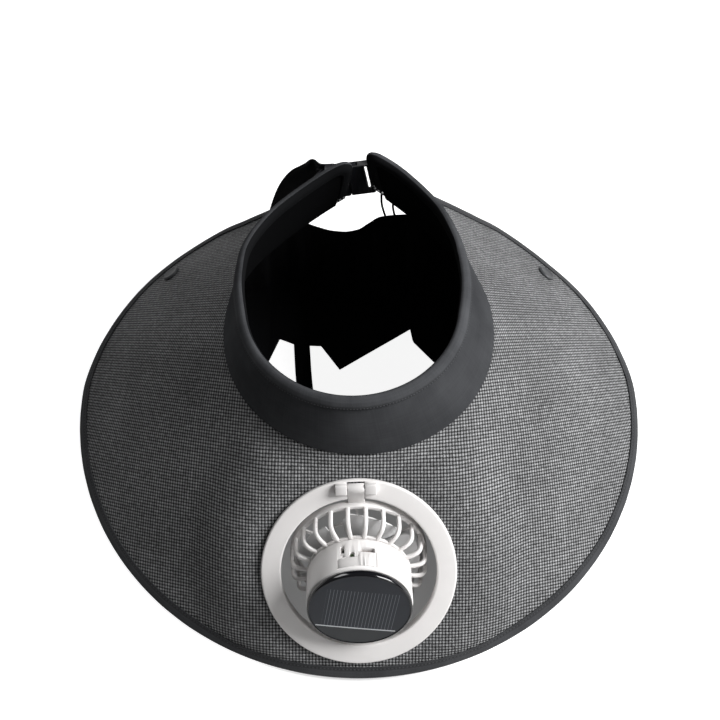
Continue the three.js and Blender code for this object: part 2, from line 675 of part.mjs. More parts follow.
// Fan ring, in its own frame: +Y up the brim's slope, +Z away from the brim
function makeRing() {
  const seat = BRIM_WALL / 2 + GAP;
  const top = seat + RING_THICK;
  const body = turned([
    [RING_INNER, top - 1.6], [RING_INNER + 1.6, top], [RING_OUTER - 3, top], [RING_OUTER - 1, top - 0.7],
    [RING_OUTER, top - 2], [RING_OUTER, seat], [COLLAR_OUTER, seat], [COLLAR_OUTER, -COLLAR_DEPTH],
    [COLLAR_OUTER - COLLAR_WALL, -COLLAR_DEPTH], [COLLAR_OUTER - COLLAR_WALL, -1], [RING_INNER, 1],
  ], 48);
  const inner = ARM_WIDTH / 2 + GAP;
  const outer = inner + KNUCKLE_WIDTH;
  const blocks = [-1, 1].map((side) => {
    const [from, to] = side < 0 ? [-outer, -inner] : [inner, outer];
    return box(from, to, HINGE_OUT - BARREL_RADIUS, HINGE_OUT + BARREL_RADIUS, seat, HINGE_RISE + BARREL_RADIUS);
  });
  const clear = BARREL_RADIUS + GAP + 0.4;
  const notch = box(-inner, inner, RING_INNER - 8, HINGE_OUT + clear, -COLLAR_DEPTH - 1, top + 10);
  const bore = rod(PIN_RADIUS + GAP, -outer + 1.2, outer + 1, HINGE_OUT, HINGE_RISE);
  return carve([body, ...blocks], [notch, bore]);
}

function makePin() {
  const reach = ARM_WIDTH / 2 + GAP + KNUCKLE_WIDTH;
  return rod(PIN_RADIUS, -reach + 1.2 + GAP, reach - GAP, 0, 0);
}

function makeClamp() {
  const top = -BRIM_WALL / 2 - CLAMP_GAP;
  return turned([
    [COLLAR_OUTER + GAP, top], [CLAMP_OUTER, top], [CLAMP_OUTER - 0.6, top - CLAMP_THICK],
    [COLLAR_OUTER + GAP, top - CLAMP_THICK],
  ], 48);
}

// Fan head, in a frame on the fan's axis: +Z forward, heights from the plane of the pin

// Plan and height of a rib, from the rim over its shoulder to the base plate
const RIB_PATH = [
  { out: 1.0, rise: 0.0 },
  { out: 1.0, rise: 0.7 },
  { out: 0.88, rise: 0.9 },
  { out: 0.6, rise: 0.98 },
  { out: 0.0, rise: 1.0 },
];

function makeRib(turn) {
  const inside = BASE_RADIUS - RIB_DEPTH * 0.7;
  const outside = RIM_RADIUS - RIM_WIDTH * 0.5;
  const low = RIM_FRONT - 1;
  const high = BASE_FRONT - BASE_THICK / 2;
  const centres = RIB_PATH.map((row) => new THREE.Vector2(mix(inside, outside, row.out), mix(low, high, row.rise)));
  const stations = centres.map((centre, k) => {
    const before = centres[Math.max(k - 1, 0)];
    const after = centres[Math.min(k + 1, centres.length - 1)];
    const step = after.clone().sub(before).normalize();
    return { centre, across: new THREE.Vector2(-step.y, step.x) };
  });
  const outline = [[-1, -1], [1, -1], [1, 1], [-1, 1]].map(([x, y]) => new THREE.Vector2(x, y));
  const place = (station, side, depth) => {
    const spot = station.centre.clone().addScaledVector(station.across, depth * RIB_DEPTH / 2);
    return new THREE.Vector3(side * RIB_WIDTH / 2, spot.x, spot.y);
  };
  return sweep(outline, stations, place).rotateZ(turn);
}

function makeCage() {
  const rim = turned([
    [RIM_RADIUS - RIM_WIDTH, RIM_BACK], [RIM_RADIUS, RIM_BACK], [RIM_RADIUS, RIM_FRONT - 0.8],
    [RIM_RADIUS - 0.8, RIM_FRONT], [RIM_RADIUS - RIM_WIDTH, RIM_FRONT],
  ], 42);
  const base = turned([
    [BASE_RADIUS - BASE_WIDTH, BASE_FRONT - BASE_THICK], [BASE_RADIUS, BASE_FRONT - BASE_THICK],
    [BASE_RADIUS, BASE_FRONT], [BASE_RADIUS - BASE_WIDTH, BASE_FRONT],
  ], 42);
  const ribs = Array.from({ length: RIB_COUNT }, (_, k) => makeRib(((k + 0.5) / RIB_COUNT) * 2 * Math.PI));
  const armEnd = RIM_RADIUS - RIM_WIDTH;
  const arm = box(-ARM_WIDTH / 2, ARM_WIDTH / 2, armEnd, AXIS_DROP, -ARM_THICK / 2, ARM_THICK / 2);
  const barrel = rod(BARREL_RADIUS, -ARM_WIDTH / 2, ARM_WIDTH / 2, AXIS_DROP, 0);
  const bore = rod(PIN_RADIUS + GAP, -ARM_WIDTH, ARM_WIDTH, AXIS_DROP, 0);
  return carve([rim, base, ...ribs, arm, barrel], [bore]);
}

// Plain guard behind the rotor: rings on spokes, set inside the rim
function makeGuard() {
  const outer = RIM_RADIUS - RIM_WIDTH - GAP;
  const front = RIM_BACK + GUARD_BAR;
  const pieces = [];
  for (let k = 1; k <= GUARD_RINGS; k++) {
    const radius = (outer * k) / GUARD_RINGS;
    pieces.push(turned([
      [radius - GUARD_BAR, RIM_BACK], [radius, RIM_BACK], [radius, front], [radius - GUARD_BAR, front],
    ], 12 + 6 * k));
  }
  for (let k = 0; k < GUARD_SPOKES; k++) {
    const spoke = box(-GUARD_BAR / 2, GUARD_BAR / 2, outer / GUARD_RINGS - 1, outer - 1, RIM_BACK, front);
    pieces.push(spoke.rotateZ((k / GUARD_SPOKES) * 2 * Math.PI));
  }
  return carve(pieces);
}

const HUB_BACK = BASE_FRONT + GAP;

// A sector of the housing's wall on its upper side, between two places across and along.
function hubPatch(x0, x1, depth, proud, back, front) {
  const turn = (x) => Math.asin(x / BASE_RADIUS);
  const steps = 8;
  const place = (u, v, height) => {
    const angle = mix(turn(x0), turn(x1), u);
    const radius = BASE_RADIUS + (proud - depth) / 2 + height;
    return new THREE.Vector3(radius * Math.sin(angle), radius * Math.cos(angle), mix(back, front, v));
  };
  return slab(steps, 1, place, depth + proud);
}

function coverPatches(grow, proud) {
  const depth = COVER_WALL + grow;
  return [
    hubPatch(COVER_LEFT - grow, COVER_RIGHT + grow, depth, proud, COVER_BACK_LEFT - grow, COVER_FRONT + grow),
    hubPatch(COVER_STEP - grow, COVER_RIGHT + grow, depth, proud, COVER_BACK - grow, COVER_FRONT + grow),
  ];
}

function makeHub() {
  const body = turned([
    [0, SHAFT_BACK], [SHAFT_RADIUS, SHAFT_BACK], [SHAFT_RADIUS, HUB_BACK], [BASE_RADIUS, HUB_BACK],
    [BASE_RADIUS, HUB_FRONT - 0.8], [BASE_RADIUS - 0.8, HUB_FRONT], [0, HUB_FRONT],
  ], 42);
  const ports = PORTS.map((port) => hubPatch(port.from, port.to, PORT_DEPTH, 2, port.back, port.front));
  return carve([body], [...coverPatches(GAP, 2), ...ports]);
}

function makeCover() {
  return carve(coverPatches(0, 0));
}

function makePanel() {
  const back = HUB_FRONT + GAP;
  const front = back + PANEL_THICK;
  const seat = front - CELL_THICK - GAP;
  return turned([
    [0, back], [PANEL_RADIUS - 0.6, back], [PANEL_RADIUS, back + 0.6], [PANEL_RADIUS, front - 0.6],
    [PANEL_RADIUS - 0.5, front], [PANEL_RADIUS - CELL_MARGIN + GAP, front],
    [PANEL_RADIUS - CELL_MARGIN + GAP, seat], [0, seat],
  ], 42);
}

function makeCell() {
  const front = HUB_FRONT + GAP + PANEL_THICK - 0.1;
  const back = HUB_FRONT + GAP + PANEL_THICK - CELL_THICK;
  const radius = PANEL_RADIUS - CELL_MARGIN;
  return turned([[0, back], [radius, back], [radius, front], [0, front]], 42);
}

function makeRotor() {
  const boss = turned([
    [0, BOSS_BACK], [BOSS_RADIUS - 2, BOSS_BACK], [BOSS_RADIUS, BOSS_BACK + 2],
    [BOSS_RADIUS, BOSS_FRONT], [0, BOSS_FRONT],
  ], 28);
  const blades = Array.from({ length: BLADE_COUNT }, (_, k) => {
    const place = (u, v, height) => {
      const radius = mix(BOSS_RADIUS - 2, BLADE_TIP, u);
      const sweepBack = 16 * u * DEG;
      const angle = (v - 0.5) * BLADE_SPAN * DEG + sweepBack + (k / BLADE_COUNT) * 2 * Math.PI;
      const rise = mix(BLADE_BACK, BLADE_FRONT, v) + height;
      return new THREE.Vector3(radius * Math.sin(angle), radius * Math.cos(angle), rise);
    };
    return slab(4, 4, place, BLADE_WALL);
  });
  const bore = turned([
    [0, SHAFT_BACK - GAP], [SHAFT_RADIUS + GAP, SHAFT_BACK - GAP], [SHAFT_RADIUS + GAP, BOSS_FRONT + 1],
    [0, BOSS_FRONT + 1],
  ], 16);
  return carve([boss, ...blades], [bore]);
}

// Rear strap. The buckle's frame: +X along the strap, +Y away from the head, +Z up the strap's width.
const TIP = brimPoint(RIGHT_HALF.end, 0);
const LEFT_TIP = brimPoint(-LEFT_HALF.end, 0);
const BUCKLE_PLACE = new THREE.Vector3(
  TIP.x + BUCKLE_ASIDE,
  Math.max(TIP.y, LEFT_TIP.y) + BUCKLE_BEHIND,
  Math.max(TIP.z, LEFT_TIP.z + LEFT_TIP_BELOW) + BUCKLE_ABOVE,
);

function makeSocket() {
  const [h, t] = [BUCKLE_HEIGHT / 2, BUCKLE_THICK / 2];
  const barEnd = SOCKET_RIGHT + SLOT_WIDTH + SOCKET_BAR;
  const body = box(SOCKET_LEFT, barEnd, -t, t, -h, h);
  const slot = box(SOCKET_RIGHT, SOCKET_RIGHT + SLOT_WIDTH, -t - 1, t + 1, -WEB_WIDTH / 2 - 0.6, WEB_WIDTH / 2 + 0.6);
  const mouth = box(SOCKET_LEFT - 1, SOCKET_LEFT + PRONG_LENGTH + 1, -t + 1.6, t - 1.6, -h - 1, h + 1);
  return carve([body], [slot, mouth]);
}

function makePlug() {
  const [h, t] = [BUCKLE_HEIGHT / 2, BUCKLE_THICK / 2];
  const right = SOCKET_LEFT - GAP;
  const body = box(PLUG_LEFT, right, -t, t, -h, h);
  const inner = t - 1.6 - GAP;
  const prongs = [-1, 1].map((side) => {
    const [from, to] = side < 0 ? [-h, -h + 6] : [h - 6, h];
    return box(right - 1, right + PRONG_LENGTH, -inner, inner, from, to);
  });
  const slots = [PLUG_LEFT + 3, PLUG_LEFT + 8].map((x) => {
    return box(x, x + SLOT_WIDTH, -t - 1, t + 1, -WEB_WIDTH / 2 - 0.6, WEB_WIDTH / 2 + 0.6);
  });
  return carve([body, ...prongs], slots);
}

const BUCKLE_MATRIX = new THREE.Matrix4()
  .makeRotationX(-BUCKLE_TILT * DEG)
  .multiply(new THREE.Matrix4().makeRotationY(-BUCKLE_TURN * DEG))
  .setPosition(BUCKLE_PLACE);

// A flat strap through chosen middle points, each with the direction of its width.
function strap(points, widths, width, wall, steps) {
  const curve = new THREE.CatmullRomCurve3(points, false, 'centripetal');
  const place = (u, v, height) => {
    const point = curve.getPoint(u);
    const tangent = curve.getTangent(u);
    const k = Math.min(Math.floor(u * (widths.length - 1)), widths.length - 2);
    const side = widths[k].clone().lerp(widths[k + 1], u * (widths.length - 1) - k);
    side.addScaledVector(tangent, -side.dot(tangent)).normalize();
    const normal = new THREE.Vector3().crossVectors(tangent, side).normalize();
    return point.addScaledVector(side, (v - 0.5) * width).addScaledVector(normal, height);
  };
  return slab(steps, 1, place, wall);
}

const local = (x, y, z) => new THREE.Vector3(x, y, z).applyMatrix4(BUCKLE_MATRIX);
const buckleUp = new THREE.Vector3(0, 0, 1).transformDirection(BUCKLE_MATRIX);

// Space that the bound corners of the brim and its two ends take up, to be kept free
function cornerClearance() {
  const wall = 2 * (BINDING_HALF + GAP);
  return [LEFT_HALF, RIGHT_HALF].map((half) => {
    const sign = half === LEFT_HALF ? -1 : 1;
    const angles = Array.from({ length: 6 }, (_, k) => sign * mix(half.end + 0.15, half.end - 22, k / 5));
    return brimSheet(angles, wall);
  });
}

// Loop of webbing from the right band end round the socket's bar and back
function makeRightWeb() {
  const bar = SOCKET_RIGHT + SLOT_WIDTH;
  const reach = WEB_WALL / 2 + GAP;
  const face = BUCKLE_THICK / 2;
  const frame = bandFrame(RIGHT_HALF.end - 12, BAND_HEIGHT * 0.45);
  const foot = frame.point.addScaledVector(frame.out, BAND_WALL / 2 + GAP + WEB_WALL / 2);
  const next = bandFrame(RIGHT_HALF.end - 7, BAND_HEIGHT * 0.44);
  const middle = next.point.addScaledVector(next.out, BAND_WALL / 2 + GAP + 1.4 * WEB_WALL);
  const points = [
    foot, middle, local(bar + SOCKET_BAR + reach + 1, face - 0.6, 3),
    local(bar + SOCKET_BAR + reach, face + reach + 0.4, 3), local(bar + 1, face + reach, 2.5),
  ];
  const widths = [frame.rise, next.rise, buckleUp, buckleUp, buckleUp];
  return strap(points, widths, WEB_WIDTH * 0.84, WEB_WALL, 12);
}

// Webbing from the left band end to the plug
function makeLeftWeb() {
  const face = BUCKLE_THICK / 2;
  const frame = bandFrame(-LEFT_HALF.end + 22, BAND_HEIGHT * 0.45);
  const foot = frame.point.addScaledVector(frame.out, BAND_WALL / 2 + GAP + WEB_WALL / 2);
  const next = bandFrame(-LEFT_HALF.end + 18, BAND_HEIGHT * 0.43);
  const middle = next.point.addScaledVector(next.out, BAND_WALL / 2 + GAP + 2 * WEB_WALL);
  const points = [foot, middle, local(PLUG_LEFT - 4, -face * 0.4, 0), local(PLUG_LEFT - GAP - WEB_WALL, 0, 0)];
  const widths = [frame.rise, next.rise, buckleUp, buckleUp];
  return strap(points, widths, WEB_WIDTH, WEB_WALL, 12);
}

// Loose end of the strap: back from the plug, up in an arch and down behind the brim's edge
function makeTail() {
  const lay = BUCKLE_THICK / 2 + WEB_WALL / 2 + GAP;
  const edge = brimPoint(TAIL_ANGLE, brimWidth(TAIL_ANGLE));
  const points = [
    local(PLUG_LEFT + 6, lay, 1), local(PLUG_LEFT - 3.5, lay + 1.4, 1.4),
    ...TAIL_PATH.map((row) => new THREE.Vector3(row.x, row.y, row.z).add(edge)),
  ];
  const widths = [
    buckleUp, buckleUp, ...TAIL_PATH.map((row) => new THREE.Vector3(row.acrossX, row.acrossY, row.acrossZ)),
  ];
  return strap(points, widths, WEB_WIDTH, WEB_WALL, 26);
}

// Neck flap, in the table's frame
const toTable = (point) => new THREE.Vector3(
  point.x,
  point.y * LEAN_COS - point.z * LEAN_SIN,
  point.y * LEAN_SIN + point.z * LEAN_COS + STAND_HEIGHT,
);

const flapCorners = [SNAPS[0], SNAPS[2], SNAPS[3], SNAPS[1]].map((snap) => {
  const frame = brimFrame(snap.angle, brimWidth(snap.angle) - SNAP_INSET);
  const below = BRIM_WALL / 2 + 2 * GAP + SNAP_DEPTH + CLOTH_WALL / 2;
  return toTable(frame.point.addScaledVector(frame.normal, -below));
});
const FLAP_TURNS = [0, 0.29, 0.71, 1]; // places of the four snaps along the flap

function flapTop(u) {
  const k = u < FLAP_TURNS[1] ? 0 : u < FLAP_TURNS[2] ? 1 : 2;
  const t = (u - FLAP_TURNS[k]) / (FLAP_TURNS[k + 1] - FLAP_TURNS[k]);
  const point = flapCorners[k].clone().lerp(flapCorners[k + 1], t);
  point.z -= k === 1 ? lookUp(FLAP_REAR_SAG, 'along', t, 'drop') : FLAP_SIDE_SAG * 4 * t * (1 - t);
  return point;
}

// A place on the flap: u along it, v from its top edge down to the table and forward to the hem.
function flapPoint(u, v) {
  const top = flapTop(u);
  const hem = new THREE.Vector3(
    BAND_RADIUS * lookUp(HEM_PLAN, 'along', u, 'x'),
    BAND_RADIUS * lookUp(HEM_PLAN, 'along', u, 'y'),
    0,
  );
  const foot = new THREE.Vector3(mix(top.x, hem.x, 0.06), mix(top.y, hem.y, 0.06), 0);
  const lying = hem.clone().sub(foot);
  const level = CLOTH_WALL / 2 + 0.1;
  const fold = FOLD_DEPTH * Math.sin(FOLD_COUNT * Math.PI * u);
  const away = new THREE.Vector3(foot.x, foot.y, 0).normalize();
  const hang = 0.4;
  if (v < hang) {
    const t = v / hang;
    const drop = mix(top.z, level + FLAP_TURN, t);
    return new THREE.Vector3(mix(top.x, foot.x, t), mix(top.y, foot.y, t), drop)
      .addScaledVector(away, fold * Math.sin(Math.PI * Math.min(t * 0.8, 1)));
  }
  const t = (v - hang) / (1 - hang);
  const turn = Math.min(t / 0.2, 1) * Math.PI / 2;
  const forward = lying.clone().normalize();
  const bend = FLAP_TURN * (1 - Math.cos(turn));
  const run = Math.max(t - 0.2, 0) / 0.8 * Math.max(lying.length() - FLAP_TURN, 1);
  const rise = level + FLAP_TURN * (1 - Math.sin(turn));
  const ripple = FOLD_DEPTH * 0.9 * Math.abs(Math.sin(FOLD_COUNT * 0.5 * Math.PI * u)) * Math.sin(Math.PI * t);
  return foot.clone().addScaledVector(forward, bend + run).setZ(rise + ripple)
    .addScaledVector(away, fold * Math.sin(Math.PI * 0.8) * (1 - t));
}

function makeFlap() {
  const step = 0.002;
  const place = (u, v, height) => {
    const along = flapPoint(Math.min(u + step, 1), v).sub(flapPoint(Math.max(u - step, 0), v));
    const down = flapPoint(u, Math.min(v + step, 1)).sub(flapPoint(u, Math.max(v - step, 0)));
    const normal = new THREE.Vector3().crossVectors(along, down).normalize();
    return flapPoint(u, v).addScaledVector(normal, height);
  };
  return slab(60, 10, place, CLOTH_WALL);
}

// Ribbon that lies forward from the hem
function makeTie() {
  const level = CLOTH_WALL / 2 + 0.1;
  const points = [
    new THREE.Vector3(-0.42 * BAND_RADIUS, 0.515 * BAND_RADIUS, level),
    new THREE.Vector3(-0.41 * BAND_RADIUS, 0.3 * BAND_RADIUS, level),
    new THREE.Vector3(-0.385 * BAND_RADIUS, 0.05 * BAND_RADIUS, level),
    new THREE.Vector3(-0.33 * BAND_RADIUS, -0.4 * BAND_RADIUS, level),
  ];
  const across = new THREE.Vector3(1, 0, 0);
  return strap(points, points.map(() => across), TIE_WIDTH, CLOTH_WALL, 10);
}

// Assembly
const root = new THREE.Group();
const stand = new THREE.Group();
const hat = new THREE.Group();
hat.rotation.x = STAND_LEAN * DEG;
hat.position.z = STAND_HEIGHT;
root.add(stand);
stand.add(hat);

function add(parent, name, geometry, material) {
  const mesh = new THREE.Mesh(geometry, material);
  mesh.name = name;
  parent.add(mesh);
  return mesh;
}

add(hat, 'brim', makeBrim(), weave);
add(hat, 'brim_binding', makeBinding(), binding);
add(hat, 'headband', makeHeadband(), bandCloth);
add(hat, 'band_roll', makeRoll(), bandCloth);
for (const snap of SNAPS) add(hat, snap.name, makeSnap().applyMatrix4(snapMatrix(snap)), greyPlastic);

const ring = new THREE.Group();
ring.position.copy(RING_CENTRE);
ring.rotation.set(BRIM_SLOPE * DEG, 0, RING_TWIST * DEG);
hat.add(ring);
add(ring, 'fan_ring', makeRing(), whitePlastic);
add(ring, 'clamp_ring', makeClamp(), whitePlastic);
add(ring, 'hinge_pin', makePin(), steel).position.set(0, HINGE_OUT, HINGE_RISE);

const head = new THREE.Group();
head.position.set(0, HINGE_OUT, HINGE_RISE);
head.rotation.x = SWING * DEG;
ring.add(head);
const axis = new THREE.Group();
axis.position.y = -AXIS_DROP;
head.add(axis);
add(axis, 'fan_cage', makeCage(), whitePlastic);
add(axis, 'fan_guard', makeGuard(), whitePlastic);
add(axis, 'fan_hub', makeHub(), whitePlastic);
add(axis, 'port_cover', makeCover(), whitePlastic);
add(axis, 'panel_bezel', makePanel(), glossBlack);
add(axis, 'solar_cell', makeCell(), cellBlue);
add(axis, 'fan_rotor', makeRotor(), clearPlastic);

const socket = makeSocket().applyMatrix4(BUCKLE_MATRIX);
add(hat, 'buckle_socket', carve([socket], cornerClearance()), blackPlastic);
const plug = makePlug().applyMatrix4(BUCKLE_MATRIX);
add(hat, 'buckle_plug', carve([plug], cornerClearance()), blackPlastic);
add(hat, 'web_right', carve([makeRightWeb()], cornerClearance()), webbing);
add(hat, 'web_left', makeLeftWeb(), webbing);
add(hat, 'strap_tail', makeTail(), webbing);

add(stand, 'neck_flap', makeFlap(), softCloth);
add(stand, 'flap_tie', makeTie(), softCloth);

// The origin is on the table, under the middle of the whole hat.
root.updateMatrixWorld(true);
const bounds = new THREE.Box3().setFromObject(root, true);
stand.position.set(-(bounds.min.x + bounds.max.x) / 2, -(bounds.min.y + bounds.max.y) / 2, -bounds.min.z);
root.updateMatrixWorld(true);

export default root;
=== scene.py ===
# %% [markdown]
# # A solar fan hat, dressed for its photograph
# The frame of this scene is the imported CAD model of a sun visor with a fan in its brim. We load it first and keep its
# parts by name. No piece that we add may make the object bigger than the CAD model says.

# %% Load the frame
import math

import bmesh
import bpy
import numpy as np
from mathutils import Matrix, Vector


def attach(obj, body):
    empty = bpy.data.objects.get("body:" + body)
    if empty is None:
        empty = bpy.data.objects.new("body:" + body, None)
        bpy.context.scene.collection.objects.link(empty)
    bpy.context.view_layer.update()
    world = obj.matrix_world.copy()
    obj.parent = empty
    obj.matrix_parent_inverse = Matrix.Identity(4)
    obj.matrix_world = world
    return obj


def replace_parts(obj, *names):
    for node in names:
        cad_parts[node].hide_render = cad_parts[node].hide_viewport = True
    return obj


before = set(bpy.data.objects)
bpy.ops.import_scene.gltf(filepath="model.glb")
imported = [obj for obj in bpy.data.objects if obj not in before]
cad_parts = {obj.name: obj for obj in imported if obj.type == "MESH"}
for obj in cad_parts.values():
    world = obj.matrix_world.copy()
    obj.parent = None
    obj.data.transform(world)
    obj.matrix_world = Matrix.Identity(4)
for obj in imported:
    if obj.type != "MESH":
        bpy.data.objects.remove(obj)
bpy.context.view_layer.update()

# %% [markdown]
# The hat was worked out in a frame of its own: millimetres, with the origin in the middle of the line where
# the band meets the brim. The hat leans a little forward on the table, so one small turn and one lift carry
# that frame to the part's frame, which is in metres. Every shape below is worked out in hat millimetres.

# %% From the hat's own frame to the part's frame
LEAN = math.radians(1.6)
LIFT, BACK, ASIDE, TABLE = 107.457, 28.46, 0.011, -0.096


def turned_x(points, angle):
    """Points turned about the X axis."""
    points = np.asarray(points, float)
    c, s = math.cos(angle), math.sin(angle)
    return np.stack([points[..., 0], points[..., 1] * c - points[..., 2] * s,
                     points[..., 1] * s + points[..., 2] * c], -1)


def to_part(points):
    """Hat millimetres to part metres."""
    return (turned_x(points, LEAN) + [ASIDE, BACK, LIFT]) * 0.001


def table_to_part(points):
    """Millimetres on the table, measured from under the hat's origin, to part metres."""
    return (np.asarray(points, float) + [ASIDE, BACK, TABLE]) * 0.001


def smoothstep(t):
    t = np.clip(t, 0, 1)
    return t * t * (3 - 2 * t)


def unit(v):
    return v / np.linalg.norm(v, axis=-1, keepdims=True)


def eased_table(x, xs, ys):
    """A smooth curve through a table, with no overshoot between its rows."""
    xs, ys = np.asarray(xs, float), np.asarray(ys, float)
    step = np.diff(ys) / np.diff(xs)
    slope = np.zeros(len(xs))
    both = step[:-1] * step[1:] > 0
    slope[1:-1][both] = 2 * step[:-1][both] * step[1:][both] / (step[:-1] + step[1:])[both]
    x = np.clip(x, xs[0], xs[-1])
    k = np.clip(np.searchsorted(xs, x) - 1, 0, len(xs) - 2)
    h = xs[k + 1] - xs[k]
    t = (x - xs[k]) / h
    return (ys[k] * (1 + 2 * t) * (1 - t) ** 2 + slope[k] * h * t * (1 - t) ** 2
            + ys[k + 1] * t * t * (3 - 2 * t) + slope[k + 1] * h * t * t * (t - 1))


# %% [markdown]
# A fabric brim is cut flat, as a broad C, and then bent. Paper and stiff cloth bend but don't stretch, so
# the honest surface is a developable one: a cone in front, which runs out into flat tangent planes behind.
# We name a place by its angle in the flat pattern and its distance from the band, and let one function
# bend it. The weave can then follow the flat pattern, exactly as real threads do.

# %% The bent brim
SLOPE = math.radians(41.3)
SIN, COS = math.sin(SLOPE), math.cos(SLOPE)
BAND_RADIUS = 97.0
FLAT_RADIUS = BAND_RADIUS / COS
BRIM_FRONT = 152.5
LEFT_END, RIGHT_END = 134.0, 136.5
LEFT_LEAVES, RIGHT_LEAVES = 131.0, 124.0
RING_OUT = 75.2
RING_CENTRE = np.array([0, -(BAND_RADIUS + RING_OUT * COS), -RING_OUT * SIN])
RING_NORMAL = np.array([0, -SIN, COS])


def bent(angle, length):
    """Point of the bent sheet, for an angle in degrees (negative on the left) and a length in mm."""
    angle, length = np.broadcast_arrays(np.asarray(angle, float), np.asarray(length, float))
    turn = np.radians(np.abs(angle))
    leaves = np.radians(np.where(angle < 0, LEFT_LEAVES, RIGHT_LEAVES)) * COS
    curled = np.minimum(turn, leaves)
    around, straight = curled / COS, turn - curled
    ruling = np.stack([COS * np.sin(around), -COS * np.cos(around), np.full_like(around, -SIN)], -1)
    tangent = np.stack([np.cos(around), np.sin(around), np.zeros_like(around)], -1)
    way = ruling * np.cos(straight)[..., None] + tangent * np.sin(straight)[..., None]
    point = way * (FLAT_RADIUS + length)[..., None] + [0, 0, BAND_RADIUS * math.tan(SLOPE)]
    point[..., 0] *= np.where(angle < 0, -1, 1)
    return point


def brim_point(angle, length):
    """The bent sheet, held flat round the fan ring."""
    point = bent(angle, length)
    offset = point - RING_CENTRE
    near = smoothstep((125 - np.linalg.norm(offset, axis=-1)) / 55)
    length = np.broadcast_to(length, near.shape)
    near = near * smoothstep(length / 19.3) * smoothstep((BRIM_FRONT - length) / 15)
    return point - (offset @ RING_NORMAL * near)[..., None] * RING_NORMAL


def brim_frame(angle, length):
    """Point, outward way, way along and upper normal of the brim."""
    h = 0.05
    out = unit(brim_point(angle, length + h) - brim_point(angle, length - h))
    along = unit(brim_point(angle + h, length) - brim_point(angle - h, length))
    return brim_point(angle, length), out, along, unit(np.cross(out, along))


# %% [markdown]
# In front the band stands a little up the slope from the cone's own band line. Farther round that lead
# fades out, so a small function says where the band and the brim's inner edge lie.

# %% Line of the band
BAND_TUCK, TUCK_FROM, TUCK_FADE = 6.0, 60.0, 50.0


def band_line(angle):
    return -BAND_TUCK * (1 - smoothstep((np.abs(angle) - TUCK_FROM) / TUCK_FADE))


# %% [markdown]
# The brim's edge stands on the table for most of its length, so its width there isn't drawn by hand: we
# look for the width at which the bound edge just touches. Behind that stretch the width follows a table
# that was read from the flat pattern.

# %% The brim's outline
EDGE_RISE = 1.035
REAR = [(70, 1), (77, 0.975), (83, 0.935), (89, 0.888), (95, 0.82), (100.5, 0.751), (106, 0.664),
        (111, 0.543), (116.5, 0.435), (120, 0.373), (127, 0.298), (137, 0.248)]


def resting_width(angle):
    low = np.full(np.shape(angle), BRIM_FRONT * 0.7)
    high = np.full(np.shape(angle), BRIM_FRONT * 1.4)
    for _ in range(40):
        middle = (low + high) / 2
        point = brim_point(angle, middle)
        height = point[..., 1] * math.sin(LEAN) + point[..., 2] * math.cos(LEAN) + LIFT - TABLE - EDGE_RISE
        low, high = np.where(height > 0, middle, low), np.where(height > 0, high, middle)
    return low


def brim_width(angle):
    angle = np.asarray(angle, float)
    ahead = resting_width(np.clip(np.abs(angle), 0, 70) * np.where(angle < 0, -1, 1))
    return ahead * eased_table(np.abs(angle), *zip(*[(0, 1), (60, 1), *REAR]))


# %% [markdown]
# Three kinds of mesh make nearly every piece here. A sheet is a grid of points with a thickness. A sweep
# is an outline that runs along a row of stations, which suits tape, webbing and ribs. A turned piece is a
# profile that spins round an axis. Each keeps a second set of coordinates named "cloth", in metres of
# material, for the threads and stitches of its finish.

# %% Mesh helpers
def piece(name, points, faces, body, finish, cloth=None, sharp=None, part=to_part):
    """A mesh object from points in millimetres, riding on a body and wearing a finish."""
    mesh = bpy.data.meshes.new(name)
    mesh.from_pydata(part(np.asarray(points, float).reshape(-1, 3)).tolist(), [], faces)
    if cloth is not None:
        marks = mesh.attributes.new("cloth", "FLOAT_VECTOR", "POINT")
        flat = np.zeros((len(mesh.vertices), 3), np.float32)
        flat[:, :np.asarray(cloth).shape[-1]] = np.asarray(cloth).reshape(len(flat), -1)
        marks.data.foreach_set("vector", (flat * 0.001).ravel())
    mesh.validate()
    bm = bmesh.new()
    bm.from_mesh(mesh)
    bmesh.ops.recalc_face_normals(bm, faces=bm.faces)
    bm.to_mesh(mesh)
    bm.free()
    mesh.shade_smooth()
    if sharp is not None:
        mesh.set_sharp_from_angle(angle=math.radians(sharp))
    made = bpy.data.objects.new(name, mesh)
    bpy.context.collection.objects.link(made)
    if finish is not None:
        mesh.materials.append(finish)
    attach(made, body)
    return made


def apply_modifiers(obj):
    """Turns what the modifiers make into the object's own mesh."""
    result = bpy.data.meshes.new_from_object(obj.evaluated_get(bpy.context.evaluated_depsgraph_get()))
    obj.modifiers.clear()
    obj.data = result
    return obj


def grid_faces(rows, columns, wrap_rows=False, wrap_columns=False):
    """Quads between points stored row by row."""
    faces = []
    for i in range(rows if wrap_rows else rows - 1):
        for j in range(columns if wrap_columns else columns - 1):
            a, b = i * columns + j, i * columns + (j + 1) % columns
            c, d = (i + 1) % rows * columns + (j + 1) % columns, (i + 1) % rows * columns + j
            faces.append((a, b, c, d))
    return faces


def sweep(outline, stations, place, capped=True):
    """Points and faces of a closed outline carried along stations. place takes arrays."""
    outline = np.asarray(outline, float)
    points = place(np.asarray(stations)[:, None], outline[None, :, 0], outline[None, :, 1])
    rows, columns = points.shape[:2]
    faces = grid_faces(rows, columns, wrap_columns=True)
    if capped:
        faces += [tuple(range(columns)), tuple((rows - 1) * columns + k for k in range(columns))]
    return points, faces


